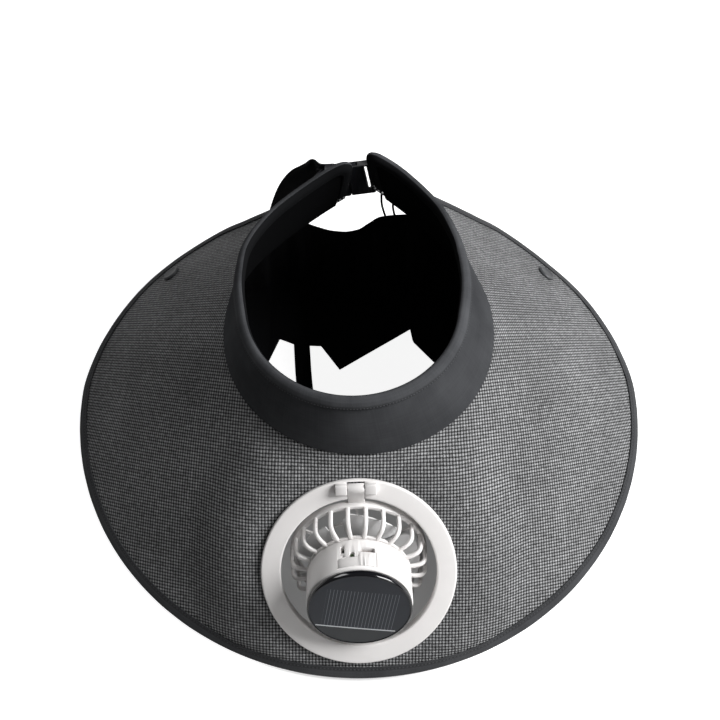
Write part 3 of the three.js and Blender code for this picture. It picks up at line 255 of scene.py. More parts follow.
def turned(profile, segments=96):
    """Points and faces of a closed profile of (radius, height) rows turned about Z."""
    profile = np.asarray(profile, float)
    angle = np.linspace(0, 2 * math.pi, segments, endpoint=False)[:, None]
    points = np.stack([profile[:, 0] * np.cos(angle), profile[:, 0] * np.sin(angle),
                       profile[:, 1] + 0 * angle], -1)
    return points, grid_faces(segments, len(profile), wrap_rows=True, wrap_columns=True)


def rounded(corners, radius, steps=3):
    """A closed 2D outline with its corners rounded; radius is one number or one for each corner."""
    corners = np.asarray(corners, float)
    radii = np.broadcast_to(radius, len(corners))
    made = []
    for k, corner in enumerate(corners):
        before, after = corners[k - 1] - corner, corners[(k + 1) % len(corners)] - corner
        if radii[k] <= 0:
            made.append(corner)
            continue
        reach = min(radii[k], 0.48 * np.linalg.norm(before), 0.48 * np.linalg.norm(after))
        a, b = corner + unit(before) * reach, corner + unit(after) * reach
        for t in np.linspace(0, 1, steps + 1):
            made.append(a * (1 - t) ** 2 + 2 * corner * t * (1 - t) + b * t * t)
    return np.array(made)


def joined(*parts):
    """Several (points, faces) put together as one."""
    points, faces, base = [], [], 0
    for some, around in parts:
        some = np.asarray(some).reshape(-1, 3)
        points.append(some)
        faces += [tuple(k + base for k in face) for face in around]
        base += len(some)
    return np.concatenate(points), faces


# %% [markdown]
# Every finish is made of shader nodes. A few small helpers keep the trees readable: one adds a node and
# joins its inputs, and one does arithmetic. Finishes that several materials share, such as a plain weave,
# fine cloth and faint mottling, are node groups that put out heights, masks and values only.

# %% Shader helpers
def add_node(tree, kind, feeds=(), **settings):
    """Adds a node; feeds are sockets or plain values for its inputs, by order or by name."""
    made = tree.nodes.new(kind)
    for key, value in settings.items():
        setattr(made, key, value)
    pairs = feeds.items() if isinstance(feeds, dict) else enumerate(feeds)
    for key, feed in pairs:
        if isinstance(feed, bpy.types.NodeSocket):
            tree.links.new(feed, made.inputs[key])
        elif feed is not None:
            made.inputs[key].default_value = feed
    return made


def calc(tree, operation, *feeds):
    return add_node(tree, "ShaderNodeMath", feeds, operation=operation).outputs[0]


def new_group(name, inputs, outputs):
    """A node group with named inputs (name: default) and value outputs."""
    tree = bpy.data.node_groups.new(name, "ShaderNodeTree")
    for label, default in inputs.items():
        kind = "NodeSocketVector" if default is None else "NodeSocketFloat"
        socket = tree.interface.new_socket(label, in_out="INPUT", socket_type=kind)
        if default is not None:
            socket.default_value = default
    for label in outputs:
        tree.interface.new_socket(label, in_out="OUTPUT", socket_type="NodeSocketFloat")
    return tree, tree.nodes.new("NodeGroupInput"), tree.nodes.new("NodeGroupOutput")


def use_group(tree, group, **feeds):
    made = tree.nodes.new("ShaderNodeGroup")
    made.node_tree = group
    for key, feed in feeds.items():
        socket = made.inputs[key.replace("_", " ")]
        if isinstance(feed, bpy.types.NodeSocket):
            tree.links.new(feed, socket)
        else:
            socket.default_value = feed
    return made


def new_finish(name, **settings):
    """A material with its Principled shader; settings are input names with _ for spaces."""
    finish = bpy.data.materials.new(name)
    finish.use_nodes = True
    shader = finish.node_tree.nodes["Principled BSDF"]
    for key, value in settings.items():
        shader.inputs[key.replace("_", " ")].default_value = value
    return finish, finish.node_tree, shader


def mixed(tree, factor, a, b):
    """A colour between two colours."""
    made = add_node(tree, "ShaderNodeMix", data_type="RGBA")
    for key, feed in ((0, factor), (6, a), (7, b)):
        if isinstance(feed, bpy.types.NodeSocket):
            tree.links.new(feed, made.inputs[key])
        else:
            made.inputs[key].default_value = feed
    return made.outputs[2]


def grey(level, tint=(1, 1, 1)):
    return (level * tint[0], level * tint[1], level * tint[2], 1)


def raise_surface(tree, shader, height, distance, strength=1.0):
    """Feeds a height, in units of distance metres, to the shader's normal through a Bump node."""
    bump = add_node(tree, "ShaderNodeBump", {"Strength": strength, "Distance": distance, "Height": height})
    tree.links.new(bump.outputs[0], shader.inputs["Normal"])


def cloth_marks(tree):
    return add_node(tree, "ShaderNodeAttribute", attribute_name="cloth").outputs["Vector"]


# %% [markdown]
# In a plain weave every thread goes over one crossing thread and under the next, like a chessboard. The
# group below finds which cell a point is in, gives each thread a round profile that rises and dips by
# turns, and keeps the higher of the two. What neither thread covers is a pinhole. It works for the coarse
# paper yarn of the brim and, with a small pitch, for tape and webbing.

# %% Plain weave group
def make_weave_group():
    tree, ins, outs = new_group("plain weave", {"Marks": None, "Pitch": 0.002, "Thread": 0.86},
                                ["Height", "Over", "Gap", "Tone", "Fibre"])
    split = add_node(tree, "ShaderNodeSeparateXYZ", [ins.outputs["Marks"]])
    cells, fracs = [], []
    for axis in (0, 1):
        place = calc(tree, "DIVIDE", split.outputs[axis], ins.outputs["Pitch"])
        cell = calc(tree, "FLOOR", place)
        cells.append(cell)
        fracs.append(calc(tree, "SUBTRACT", calc(tree, "SUBTRACT", place, cell), 0.5))
    parity = calc(tree, "FLOORED_MODULO", calc(tree, "ADD", cells[0], cells[1]), 2.0)
    way = calc(tree, "MULTIPLY_ADD", parity, 2.0, -1.0)
    heights = []
    for across, along, sign in ((0, 1, 1.0), (1, 0, -1.0)):
        share = calc(tree, "DIVIDE", fracs[across], calc(tree, "MULTIPLY", ins.outputs["Thread"], 0.5))
        bulge = calc(tree, "SUBTRACT", 1.0, calc(tree, "MULTIPLY", share, share))
        wave = calc(tree, "COSINE", calc(tree, "MULTIPLY", fracs[along], math.pi))
        lift = calc(tree, "MULTIPLY", calc(tree, "MULTIPLY", wave, way), 0.45 * sign)
        raised = calc(tree, "MULTIPLY_ADD", calc(tree, "SQRT", calc(tree, "MAXIMUM", bulge, 0.0)), 0.55, lift)
        heights.append(calc(tree, "ADD", raised, calc(tree, "MULTIPLY", calc(tree, "LESS_THAN", bulge, 0.0), -1.5)))
    height = calc(tree, "MAXIMUM", heights[0], heights[1])
    over = calc(tree, "GREATER_THAN", heights[0], heights[1])
    gap = calc(tree, "LESS_THAN", height, -0.7)
    tones = []
    for k, salt in ((0, 11.3), (1, 47.9)):
        seed = calc(tree, "ADD", cells[k], salt)
        tones.append(add_node(tree, "ShaderNodeTexWhiteNoise", {"W": seed}, noise_dimensions="1D").outputs["Value"])
    tone = add_node(tree, "ShaderNodeMix", {0: over, 2: tones[1], 3: tones[0]}).outputs[0]
    fibres = []
    for stretch in ((9000, 1300, 1), (1300, 9000, 1)):
        scaled = add_node(tree, "ShaderNodeVectorMath", [ins.outputs["Marks"], stretch], operation="MULTIPLY")
        noise = add_node(tree, "ShaderNodeTexNoise", {"Vector": scaled.outputs[0], "Scale": 1.0, "Detail": 2.0})
        fibres.append(noise.outputs[0])
    fibre = add_node(tree, "ShaderNodeMix", {0: over, 2: fibres[1], 3: fibres[0]}).outputs[0]
    for label, feed in zip(("Height", "Over", "Gap", "Tone", "Fibre"), (height, over, gap, tone, fibre)):
        tree.links.new(feed, outs.inputs[label])
    return tree


def make_mottle_group():
    """Soft uneven patches over the object's own space, for dust, fading and handling."""
    tree, ins, outs = new_group("soft mottle", {"Size": 0.04, "Contrast": 1.0}, ["Value"])
    place = add_node(tree, "ShaderNodeNewGeometry").outputs["Position"]
    scale = calc(tree, "DIVIDE", 1.0, ins.outputs["Size"])
    noise = add_node(tree, "ShaderNodeTexNoise", {"Vector": place, "Scale": scale, "Detail": 4.0}).outputs[0]
    centred = calc(tree, "SUBTRACT", noise, 0.5)
    tree.links.new(calc(tree, "MULTIPLY_ADD", centred, ins.outputs["Contrast"], 0.5), outs.inputs["Value"])
    return tree


def make_stitch_group():
    """Thread stitches on a line: marks x runs along the seam and marks y across it."""
    tree, ins, outs = new_group("stitch line", {"Marks": None, "Line": 0.002, "Length": 0.0026, "Width": 0.0006},
                                ["Stitch", "Dent"])
    split = add_node(tree, "ShaderNodeSeparateXYZ", [ins.outputs["Marks"]])
    off = calc(tree, "ABSOLUTE", calc(tree, "SUBTRACT", split.outputs[1], ins.outputs["Line"]))
    across = calc(tree, "SUBTRACT", 1.0, calc(tree, "DIVIDE", off, ins.outputs["Width"]))
    phase = calc(tree, "FRACT", calc(tree, "DIVIDE", split.outputs[0], ins.outputs["Length"]))
    inside = calc(tree, "SUBTRACT", 1.0, calc(tree, "MULTIPLY", calc(tree, "ABSOLUTE", calc(tree, "SUBTRACT", phase, 0.5)), 2.6))
    stitch = calc(tree, "MULTIPLY", calc(tree, "MAXIMUM", across, 0.0), calc(tree, "MAXIMUM", calc(tree, "ADD", inside, 0.15), 0.0))
    dent = calc(tree, "MAXIMUM", calc(tree, "SUBTRACT", 1.0, calc(tree, "DIVIDE", off, calc(tree, "MULTIPLY", ins.outputs["Width"], 3.2))), 0.0)
    tree.links.new(stitch, outs.inputs["Stitch"])
    tree.links.new(dent, outs.inputs["Dent"])
    return tree


WEAVE, MOTTLE, STITCH = make_weave_group(), make_mottle_group(), make_stitch_group()
print("node groups", [g.name for g in (WEAVE, MOTTLE, STITCH)])

# %% [markdown]
# The brim's cloth is a coarse weave of dark, slightly glossy paper yarn. Its threads differ a little in tone, the
# crowns of the threads are painted light as a painted highlight, and the pinholes between them are painted nearly black
# as painted shade. One finish holds all of that; the pitch of about two millimetres was counted in the photograph.

# %% Finish of the brim
def make_brim_finish():
    finish, tree, shader = new_finish("woven paper yarn", Roughness=0.6, Specular_IOR_Level=0.14)
    weave = use_group(tree, WEAVE, Marks=cloth_marks(tree), Pitch=0.00225, Thread=0.76)
    # Painted highlight: the crowns of the threads are painted lighter where light would catch them; thread tone and
    # mottle vary it.
    crown_highlight = calc(tree, "SMOOTH_MIN", calc(tree, "MULTIPLY_ADD", weave.outputs["Height"], 0.6, 0.38), 1.0, 0.1)
    patch = use_group(tree, MOTTLE, Size=0.05, Contrast=0.7).outputs["Value"]
    tone = calc(tree, "MULTIPLY_ADD", weave.outputs["Tone"], 0.16, calc(tree, "MULTIPLY_ADD", weave.outputs["Fibre"], 0.7, patch))
    crown_highlight = calc(tree, "POWER", calc(tree, "MAXIMUM", crown_highlight, 0.0), 4.5)
    uneven = use_group(tree, MOTTLE, Size=0.003, Contrast=1.8).outputs["Value"]
    bright = calc(tree, "MULTIPLY", calc(tree, "MULTIPLY", crown_highlight, tone), calc(tree, "MULTIPLY_ADD", uneven, 0.9, 0.5))
    colour = mixed(tree, bright, grey(0.002, (1, 1.03, 1.12)), grey(0.43, (1.0, 1.01, 1.03)))
    # Painted shade: the pinholes between the threads are painted nearly black for the shade seen through them.
    tree.links.new(mixed(tree, weave.outputs["Gap"], colour, grey(0.0015)), shader.inputs["Base Color"])
    tree.links.new(calc(tree, "MULTIPLY_ADD", weave.outputs["Fibre"], 0.3, 0.42), shader.inputs["Roughness"])
    height = calc(tree, "MAXIMUM", weave.outputs["Height"], -0.6)
    raise_surface(tree, shader, calc(tree, "MULTIPLY_ADD", weave.outputs["Fibre"], 0.3, height), 0.0006)
    return finish


def make_tape_finish(name, dark, light, pitch, line=None, sheen=0.25, rough=0.85, contrast=0.8, inner_face_colour=None,
                     gloss=0.12):
    """Fine woven tape or band cloth, with painted light and shade over the weave's relief, an optional stitched line
    with painted shade beside it, and an optional darker colour on its inner face.
    """
    finish, tree, shader = new_finish(name, Roughness=rough, Specular_IOR_Level=gloss, Sheen_Weight=sheen,
                                      Sheen_Roughness=0.5)
    marks = cloth_marks(tree)
    weave = use_group(tree, WEAVE, Marks=marks, Pitch=pitch, Thread=0.95)
    patch = use_group(tree, MOTTLE, Size=0.03, Contrast=contrast).outputs["Value"]
    # Painted light and shade: the weave's height lightens the thread crowns and darkens the dips; tone and mottle vary
    # it.
    mix = calc(tree, "MULTIPLY_ADD", weave.outputs["Height"], 0.2, calc(tree, "MULTIPLY_ADD", weave.outputs["Tone"], 0.18, patch))
    colour = mixed(tree, calc(tree, "SUBTRACT", mix, 0.1), dark, light)
    height = calc(tree, "MULTIPLY", weave.outputs["Height"], 0.12)
    if line is not None:
        seam = use_group(tree, STITCH, Marks=marks, Line=line)
        # Painted shade: the pressed groove beside the stitches is painted darker.
        colour = mixed(tree, calc(tree, "MULTIPLY", seam.outputs["Dent"], 0.55), colour, grey(0.006))
        colour = mixed(tree, seam.outputs["Stitch"], colour, light)
        height = calc(tree, "ADD", height, calc(tree, "MULTIPLY_ADD", seam.outputs["Stitch"], 0.9, calc(tree, "MULTIPLY", seam.outputs["Dent"], -0.8)))
    # The inner face of the cloth gets a darker colour.
    if inner_face_colour is not None:
        side = add_node(tree, "ShaderNodeSeparateXYZ", [marks]).outputs[2]
        colour = mixed(tree, calc(tree, "LESS_THAN", side, 0.0), colour, inner_face_colour)
    tree.links.new(colour, shader.inputs["Base Color"])
    raise_surface(tree, shader, height, 0.0004)
    return finish


brim_finish = make_brim_finish()
DARK, LIGHT = (1, 1.04, 1.15), (1, 1.03, 1.1)
binding_finish = make_tape_finish("folded binding tape", grey(0.012, DARK), grey(0.06, LIGHT), 0.0007, line=0.0068, sheen=0.1)
band_finish = make_tape_finish("band cloth", grey(0.018, DARK), grey(0.055, LIGHT), 0.0005, contrast=1.2, sheen=0.0, gloss=0.03,
                               inner_face_colour=grey(0.0025, DARK))
roll_finish = make_tape_finish("rolled edge tape", grey(0.018, DARK), grey(0.075, LIGHT), 0.0006, line=0.0014, sheen=0.0, gloss=0.05, contrast=1.4,
                               inner_face_colour=grey(0.006, DARK))
webbing_finish = make_tape_finish("strap webbing", grey(0.0025, DARK), grey(0.008, (1, 1.03, 1.3)), 0.0011, rough=0.75, sheen=0.03)
flap_finish = make_tape_finish("neck flap cloth", grey(0.001, DARK), grey(0.0045, (1, 1.03, 1.4)), 0.0004, rough=0.85, sheen=0.03)

# %% [markdown]
# The plastics are simple but not flat: moulded plastic has a faint uneven gloss and a fine skin. White parts carry a
# trace of dust, so a little random mottling goes into both colour and roughness.

# %% Plastic and metal finishes
def make_plastic(name, colour, rough, vary=0.06, skin=0.00002, **extra):
    finish, tree, shader = new_finish(name, **extra)
    patch = use_group(tree, MOTTLE, Size=0.012, Contrast=1.0).outputs["Value"]
    darker = (colour[0] * (1 - vary), colour[1] * (1 - vary), colour[2] * (1 - vary), 1)
    tree.links.new(mixed(tree, patch, darker, colour), shader.inputs["Base Color"])
    tree.links.new(calc(tree, "MULTIPLY_ADD", patch, 0.14, rough - 0.07), shader.inputs["Roughness"])
    grain = use_group(tree, MOTTLE, Size=0.0006, Contrast=1.0).outputs["Value"]
    raise_surface(tree, shader, grain, skin)
    return finish


white_finish = make_plastic("white moulded plastic", (0.82, 0.80, 0.79, 1), 0.42)
buckle_finish = make_plastic("black moulded plastic", (0.01, 0.0105, 0.014, 1), 0.42, vary=0.3)
snap_finish = make_plastic("grey snap plastic", (0.06, 0.062, 0.066, 1), 0.45, vary=0.25)
bezel_finish = make_plastic("gloss black casting", (0.004, 0.004, 0.006, 1), 0.12, vary=0.3, Coat_Weight=0.5)
port_finish = make_plastic("dark port", (0.012, 0.01, 0.01, 1), 0.5, vary=0.3)
lamp_finish = make_plastic("charge lamp", (0.03, 0.06, 0.02, 1), 0.3, vary=0.2)
metal_finish = make_plastic("port metal", (0.28, 0.22, 0.2, 1), 0.35, vary=0.2, Metallic=0.8)
rotor_finish = make_plastic("clear rotor plastic", (0.88, 0.88, 0.88, 1), 0.3, vary=0.05, Transmission_Weight=0.1, Alpha=0.92)

# %% [markdown]
# The brim comes first, because everything else sits on it. It is a grid in the flat pattern, bent by the
# function above, with a hole under the fan ring and a little thickness. The cloth marks are the flat
# pattern's own millimetres, so warp and weft stay straight in the pattern and swing round on the cone.

# %% Brim
BRIM_WALL = 1.6
CORNER = 14.0


def outline_width(angle):
    """Width with the two rear corners rounded."""
    end = np.where(angle < 0, LEFT_END, RIGHT_END)
    width = brim_width(angle)
    from_end = np.radians(end - np.abs(angle)) * (FLAT_RADIUS + width)
    across = np.clip(CORNER - from_end, 0, CORNER)
    return width - (CORNER - np.sqrt(CORNER ** 2 - across ** 2))


def flat_place(angle, length):
    reach = FLAT_RADIUS + length
    return np.stack([reach * np.sin(np.radians(angle)), reach * np.cos(np.radians(angle))], -1)


def thicken(obj, wall):
    """Gives a sheet its thickness, half to each side, and keeps it closed."""
    solid = obj.modifiers.new("wall", "SOLIDIFY")
    solid.thickness, solid.offset, solid.use_even_offset = wall * 0.001, 0, True
    return apply_modifiers(obj)


def build_brim():
    margin = 1.2 / FLAT_RADIUS / math.radians(1)
    ends = np.degrees(CORNER * (1 - np.cos(np.linspace(0, math.pi / 2, 8))) / 170)
    middle = np.linspace(-LEFT_END + ends[-1], RIGHT_END - ends[-1], 340)[1:-1]
    angles = np.concatenate([-LEFT_END + margin * 0.4 + ends, middle, RIGHT_END - margin * 0.4 - ends[::-1]])
    shares = np.linspace(0, 1, 56)
    width = outline_width(angles) - 1.2
    inner = band_line(angles)
    length = inner[:, None] + (width - inner)[:, None] * shares[None, :]
    angle = np.broadcast_to(angles[:, None], length.shape)
    points = brim_point(angle, length)
    hole = np.linalg.norm(points - RING_CENTRE, axis=-1).ravel() < 57.5
    faces = [f for f in grid_faces(*length.shape) if not all(hole[list(f)])]
    used = sorted({k for f in faces for k in f})
    index = {k: n for n, k in enumerate(used)}
    faces = [tuple(index[k] for k in f) for f in faces]
    made = piece("brim_cloth", points.reshape(-1, 3)[used], faces, "hat", brim_finish,
                 cloth=flat_place(angle, length).reshape(-1, 2)[used])
    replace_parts(thicken(made, BRIM_WALL), "brim")
    return made


brim = build_brim()
print("brim", len(brim.data.vertices), "points")

# %% [markdown]
# A folded tape binds the brim's edge. It is one sweep of a U-shaped outline along the flat pattern's
# outline: each station knows its way inward, so the tape lies on both faces of the brim wherever it bends.
# Real binding puckers a little between its stitches, and here that is a small wave in its height.

# %% Binding
BINDING_WIDTH = 8.5


def outline_stations():
    """Flat points of the brim's outline, the way inward at each, and the run along it."""
    rows = []
    for half, sign in ((LEFT_END, -1), (RIGHT_END, 1)):
        corner = float(brim_width(np.array([sign * half]))[0]) - CORNER
        line = [flat_place(sign * half, corner * t) for t in np.linspace(0.12, 1, 8)]
        sweep_in = CORNER * (1 - np.cos(np.linspace(0, math.pi / 2, 9)[1:]))
        reach = FLAT_RADIUS + corner + CORNER
        angles = sign * (half - np.degrees(sweep_in / reach))
        rows.append((line, angles))
    (left_line, left_angles), (right_line, right_angles) = rows
    middle = np.linspace(left_angles[-1], right_angles[-1], 520)[1:-1]
    angles = np.concatenate([left_angles, middle, right_angles[::-1]])
    path = np.concatenate([left_line, flat_place(angles, outline_width(angles)), right_line[::-1]])
    step = unit(np.gradient(path, axis=0))
    run = np.concatenate([[0], np.cumsum(np.linalg.norm(np.diff(path, axis=0), axis=1))])
    return path, np.stack([step[:, 1], -step[:, 0]], -1), run


def build_binding():
    path, inward, run = outline_stations()
    half = BRIM_WALL / 2 + 0.3
    outline = rounded([[BINDING_WIDTH, half], [BINDING_WIDTH, half + 0.9], [0.1, half + 1.05], [0.1, -half - 1.05],
                       [BINDING_WIDTH, -half - 0.9], [BINDING_WIDTH, -half], [1.2, -half], [1.2, half]],
                      [0.3, 0.5, 1.6, 1.6, 0.5, 0.3, 0, 0], 3)
    rng = np.random.default_rng(5)
    wobble = np.convolve(rng.normal(size=len(run)), np.hanning(9) / 4, "same")

    def place(station, across, height):
        station = station.astype(int)
        flat = path[station] + inward[station] * across[..., None]
        frame_at = brim_frame(np.degrees(np.arctan2(flat[..., 0], flat[..., 1])),
                              np.linalg.norm(flat, axis=-1) - FLAT_RADIUS)
        pucker = 1 + 0.05 * np.sin(run[station] * 2.1) * (across > 4) + 0.06 * wobble[station]
        return frame_at[0] + frame_at[3] * (height * pucker)[..., None]

    points, faces = sweep(outline, range(len(path)), place)
    marks = np.stack(np.broadcast_arrays(run[:, None], outline[None, :, 0]), -1)
    made = piece("brim_tape", points, faces, "hat", binding_finish, cloth=marks, sharp=60)
    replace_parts(made, "brim_binding")
    return made


binding = build_binding()

# %% [markdown]
# The headband is a padded wall that leans towards the head, with cloth outside and in. A second tape rolls
# over its top edge and runs down the two ends behind. We build the wall as one closed sheet whose outer
# face swells a little, and the roll as a sweep of a D-shaped outline along the wall's upper edge.

# %% Headband
BAND = [(0, 0.9, 27.1), (60, 0.9, 27.1), (80, 0.92, 20.5), (95, 0.94, 11.5), (110, 0.94, 5), (125, 0.95, 4), (142, 0.96, 8)]
BAND_HEIGHT, BAND_WALL, BAND_SAG, BAND_CORNER = 50.5, 4.5, 5.5, 6.0
LEFT_SLANT, RIGHT_SLANT, SLANT_FROM, SLANT_FADE = -3.3, 5.0, 100.0, 30.0
ROLL_WIDTH, ROLL_HEIGHT, ROLL_TAIL = 7.2, 9.0, 9.0
BAND_MARGIN = math.degrees((ROLL_HEIGHT + 0.3) / FLAT_RADIUS)
BAND_FROM, BAND_TO = -LEFT_END + BAND_MARGIN, RIGHT_END - BAND_MARGIN - 2.3


def band_column(angle, column):
    rows = np.array(BAND)
    return eased_table(np.abs(angle), rows[:, 0], rows[:, column])


def band_point(angle, height):
    """Middle of the band's wall at a height above its foot."""
    place, height = np.broadcast_arrays(np.asarray(angle, float), np.asarray(height, float))
    slant = np.where(place < 0, LEFT_SLANT, RIGHT_SLANT) * smoothstep((np.abs(place) - SLANT_FROM) / SLANT_FADE)
    angle = place + slant * height / BAND_HEIGHT
    foot, out, along, _ = brim_frame(angle, band_line(angle))
    level = unit(np.stack([along[..., 1], -along[..., 0], 0 * along[..., 0]], -1))
    level *= np.sign((level * out).sum(-1, keepdims=True))
    lean = np.radians(band_column(angle, 2))[..., None]
    up = np.array([0, 0, 1]) * np.cos(lean) - level * np.sin(lean)
    fold = np.arccos(np.clip(-(up * out).sum(-1), -1, 1))
    seat = 0.3 + BRIM_WALL / 2 * np.tan(fold)
    point = foot - out * seat[..., None] + up * height[..., None]
    fade = np.clip((BAND_RADIUS - point[..., 1]) / (BAND_RADIUS * 0.6), 0, 1)
    point[..., 0] -= BAND_SAG * height / BAND_HEIGHT * fade
    return point


def band_frame(angle, height):
    h = 0.05
    along = unit(band_point(angle + h, height) - band_point(angle - h, height))
    rise = unit(band_point(angle, height + h) - band_point(angle, height - h))
    return band_point(angle, height), along, rise, unit(np.cross(along, rise))


def wall_height(angle):
    full = BAND_HEIGHT * band_column(angle, 1) - ROLL_HEIGHT - 0.3
    from_end = np.radians(np.minimum(angle - BAND_FROM, BAND_TO - angle)) * FLAT_RADIUS
    across = np.clip(BAND_CORNER - from_end, 0, BAND_CORNER)
    return full - (BAND_CORNER - np.sqrt(BAND_CORNER ** 2 - across ** 2))


def wall_angles(count):
    corner = math.degrees(BAND_CORNER / FLAT_RADIUS)
    ends = corner * (1 - np.cos(np.linspace(0, math.pi / 2, 8)[:-1]))
    middle = np.linspace(BAND_FROM + corner, BAND_TO - corner, count)
    return np.concatenate([BAND_FROM + ends, middle, BAND_TO - ends[::-1]])


def build_headband():
    angles = wall_angles(260)
    rng = np.random.default_rng(8)
    crease = sum(a * np.sin(angles * w + p) for a, w, p in zip(rng.uniform(0.1, 0.25, 6), rng.uniform(0.08, 0.5, 6), rng.uniform(0, 6, 6)))
    rows = [(-1, t) for t in np.linspace(0, 1, 14)] + [(1, t) for t in np.linspace(1, 0, 14)]
    side = np.array([r[0] for r in rows])
    share = np.array([r[1] for r in rows])
    height = wall_height(angles)[:, None] * share[None, :]
    angle = np.broadcast_to(angles[:, None], height.shape)
    point, along, rise, out = band_frame(angle, height)
    bulge = np.sin(np.pi * share) ** 0.6
    swell = np.where(side > 0, 0.5 * bulge, 0.9 * bulge)[None, :] * (1 + 0.35 * crease[:, None] * np.where(side > 0, 1, 0.6)[None, :])
    off = side[None, :] * (BAND_WALL / 2 - 0.35) + side[None, :] * swell
    points = point + out * off[..., None]
    faces = grid_faces(len(angles), len(rows), wrap_columns=True)
    last = (len(angles) - 1) * len(rows)
    faces += [tuple(range(len(rows))), tuple(last + k for k in range(len(rows)))]
    marks = np.stack(np.broadcast_arrays(np.radians(angle) * FLAT_RADIUS, height, side[None, :]), -1)
    made = piece("headband_cloth", points, faces, "hat", band_finish, cloth=marks, sharp=60)
    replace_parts(made, "headband")
    return made


def build_roll():
    angles = wall_angles(300)
    tops = wall_height(angles)
    tail = [np.linspace(ROLL_TAIL, t, 7)[:-1] for t in (tops[0], tops[-1])]
    angle = np.concatenate([np.full(6, angles[0]), angles, np.full(6, angles[-1])])
    height = np.concatenate([tail[0], tops, tail[1][::-1]])
    run = np.gradient(angle) * math.radians(1) * FLAT_RADIUS
    climb = np.gradient(height)
    size = np.hypot(run, climb)
    run, climb = run / size, climb / size
    total = np.concatenate([[0], np.cumsum(np.hypot(np.diff(angle) * math.radians(1) * FLAT_RADIUS, np.diff(height)))])
    half = ROLL_WIDTH / 2
    outline = rounded([[-2.0, 0.3], [-half, 0.6], [-half, 6.2], [-1.2, ROLL_HEIGHT], [1.2, ROLL_HEIGHT], [half, 6.2], [half, 0.6], [2.0, 0.3]],
                      [0, 0.9, 3.2, 2.4, 2.4, 3.2, 0.9, 0], 4)
    rng = np.random.default_rng(3)
    lumps = np.convolve(rng.normal(size=len(angle)), np.hanning(15) / 5, "same") * 0.12

    def place(station, across, away):
        k = station.astype(int)
        point, along, rise, out = band_frame(angle[k], height[k])
        edge = rise * run[k][..., None] - along * climb[k][..., None]
        plump = 1 + 0.04 * lumps[k]
        return point + out * (across * plump)[..., None] + edge * (away * plump)[..., None]

    points, faces = sweep(outline, range(len(angle)), place)
    marks = np.stack(np.broadcast_arrays(total[:, None], outline[None, :, 1], outline[None, :, 0] + 0.8), -1)
    made = piece("band_edge_roll", points, faces, "hat", roll_finish, cloth=marks, sharp=60)
    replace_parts(made, "band_roll")
    return made


headband, roll = build_headband(), build_roll()
print("band", len(headband.data.vertices), "roll", len(roll.data.vertices))

# %% [markdown]
# Four snap fasteners go through the rear of the brim and hold the neck flap. Each is a small dished cap
# with a rolled lip, and a flatter foot below.

# %% Snaps
def snap_place(angle):
    """Point and axes of a snap on the brim."""
    angle = np.array([float(angle)])
    point, out, along, normal = brim_frame(angle, brim_width(angle) - 25)
    return point[0], np.stack([np.cross(out[0], normal[0]), out[0], normal[0]], 1)


def build_snap(name, angle):
    centre, axes = snap_place(angle)
    top = BRIM_WALL / 2 + 0.3
    profile = np.concatenate([
        [[0, top + 1.5], [3.5, top + 1.45], [4.6, top + 1.55], [5.6, top + 2.1], [6.4, top + 2.1], [7.1, top + 1.5], [7.4, top + 0.7],
         [7.3, top], [2.4, top], [2.4, -top], [5.6, -top], [5.6, -top - 1.4], [4.4, -top - 2.2], [2.5, -top - 2.0], [0, -top - 2.0]]])
    points, faces = turned_solid(profile, 40)
    made = piece(name + "_cap", points @ axes.T + centre, faces, "hat", snap_finish, sharp=50)
    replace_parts(made, name)


def turned_solid(profile, segments):
    """A profile that begins and ends on the axis, turned about Z, with single points at its poles."""
    inner = profile[1:-1]
    angle = np.linspace(0, 2 * math.pi, segments, endpoint=False)[:, None]
    ring = np.stack([inner[:, 0] * np.cos(angle), inner[:, 0] * np.sin(angle), inner[:, 1] + 0 * angle], -1)
    n = len(inner)
    points = np.concatenate([ring.reshape(-1, 3), [[0, 0, profile[0][1]], [0, 0, profile[-1][1]]]])
    faces = grid_faces(segments, n, wrap_rows=True)
    first, last = segments * n, segments * n + 1
    for i in range(segments):
        j = (i + 1) % segments
        faces += [(first, i * n, j * n), (last, j * n + n - 1, i * n + n - 1)]
    return points, faces


for snap_name, snap_angle in (("snap_side_left", -92.6), ("snap_side_right", 92.6),
                              ("snap_rear_left", -116.6), ("snap_rear_right", 116.6)):
    build_snap(snap_name, snap_angle)

# %% [markdown]
# The fan sits in a white ring that is clamped through the front of the brim. Ring, cage, housing and panel
# are hard turned parts, so their shapes are exact profiles. Three nested frames carry them: the ring's
# frame lies on the brim's slope, the head's frame hangs from the hinge pin, and its axis runs through the
# fan. One function carries ring millimetres to hat millimetres, and one carries head millimetres to ring.

# %% Frames of the fan
RING_TWIST = math.radians(1.9)
SWING = math.radians(25)
HINGE_OUT, HINGE_RISE, AXIS_DROP = 59.0, 4.8, 57.5


def turned_z(points, angle):
    points = np.asarray(points, float)
    c, s = math.cos(angle), math.sin(angle)
    return np.stack([points[..., 0] * c - points[..., 1] * s, points[..., 0] * s + points[..., 1] * c,
                     points[..., 2]], -1)


def ring_to_hat(points):
    return turned_x(turned_z(points, RING_TWIST), SLOPE) + RING_CENTRE


def head_to_hat(points):
    hung = turned_x(np.asarray(points, float) + [0, -AXIS_DROP, 0], SWING)
    return ring_to_hat(hung + [0, HINGE_OUT, HINGE_RISE])


def box_mesh(x0, x1, y0, y1, z0, z1):
    points = np.array([(x, y, z) for x in (x0, x1) for y in (y0, y1) for z in (z0, z1)], float)
    faces = [(0, 1, 3, 2), (4, 6, 7, 5), (0, 4, 5, 1), (2, 3, 7, 6), (0, 2, 6, 4), (1, 5, 7, 3)]
    return points, faces


def soften(obj, width, segments=3, angle=35):
    """Rounds the sharp edges of a hard part."""
    bevel = obj.modifiers.new("edge", "BEVEL")
    bevel.width, bevel.segments = width * 0.001, segments
    bevel.limit_method, bevel.angle_limit = "ANGLE", math.radians(angle)
    bevel.harden_normals = True
    return apply_modifiers(obj)


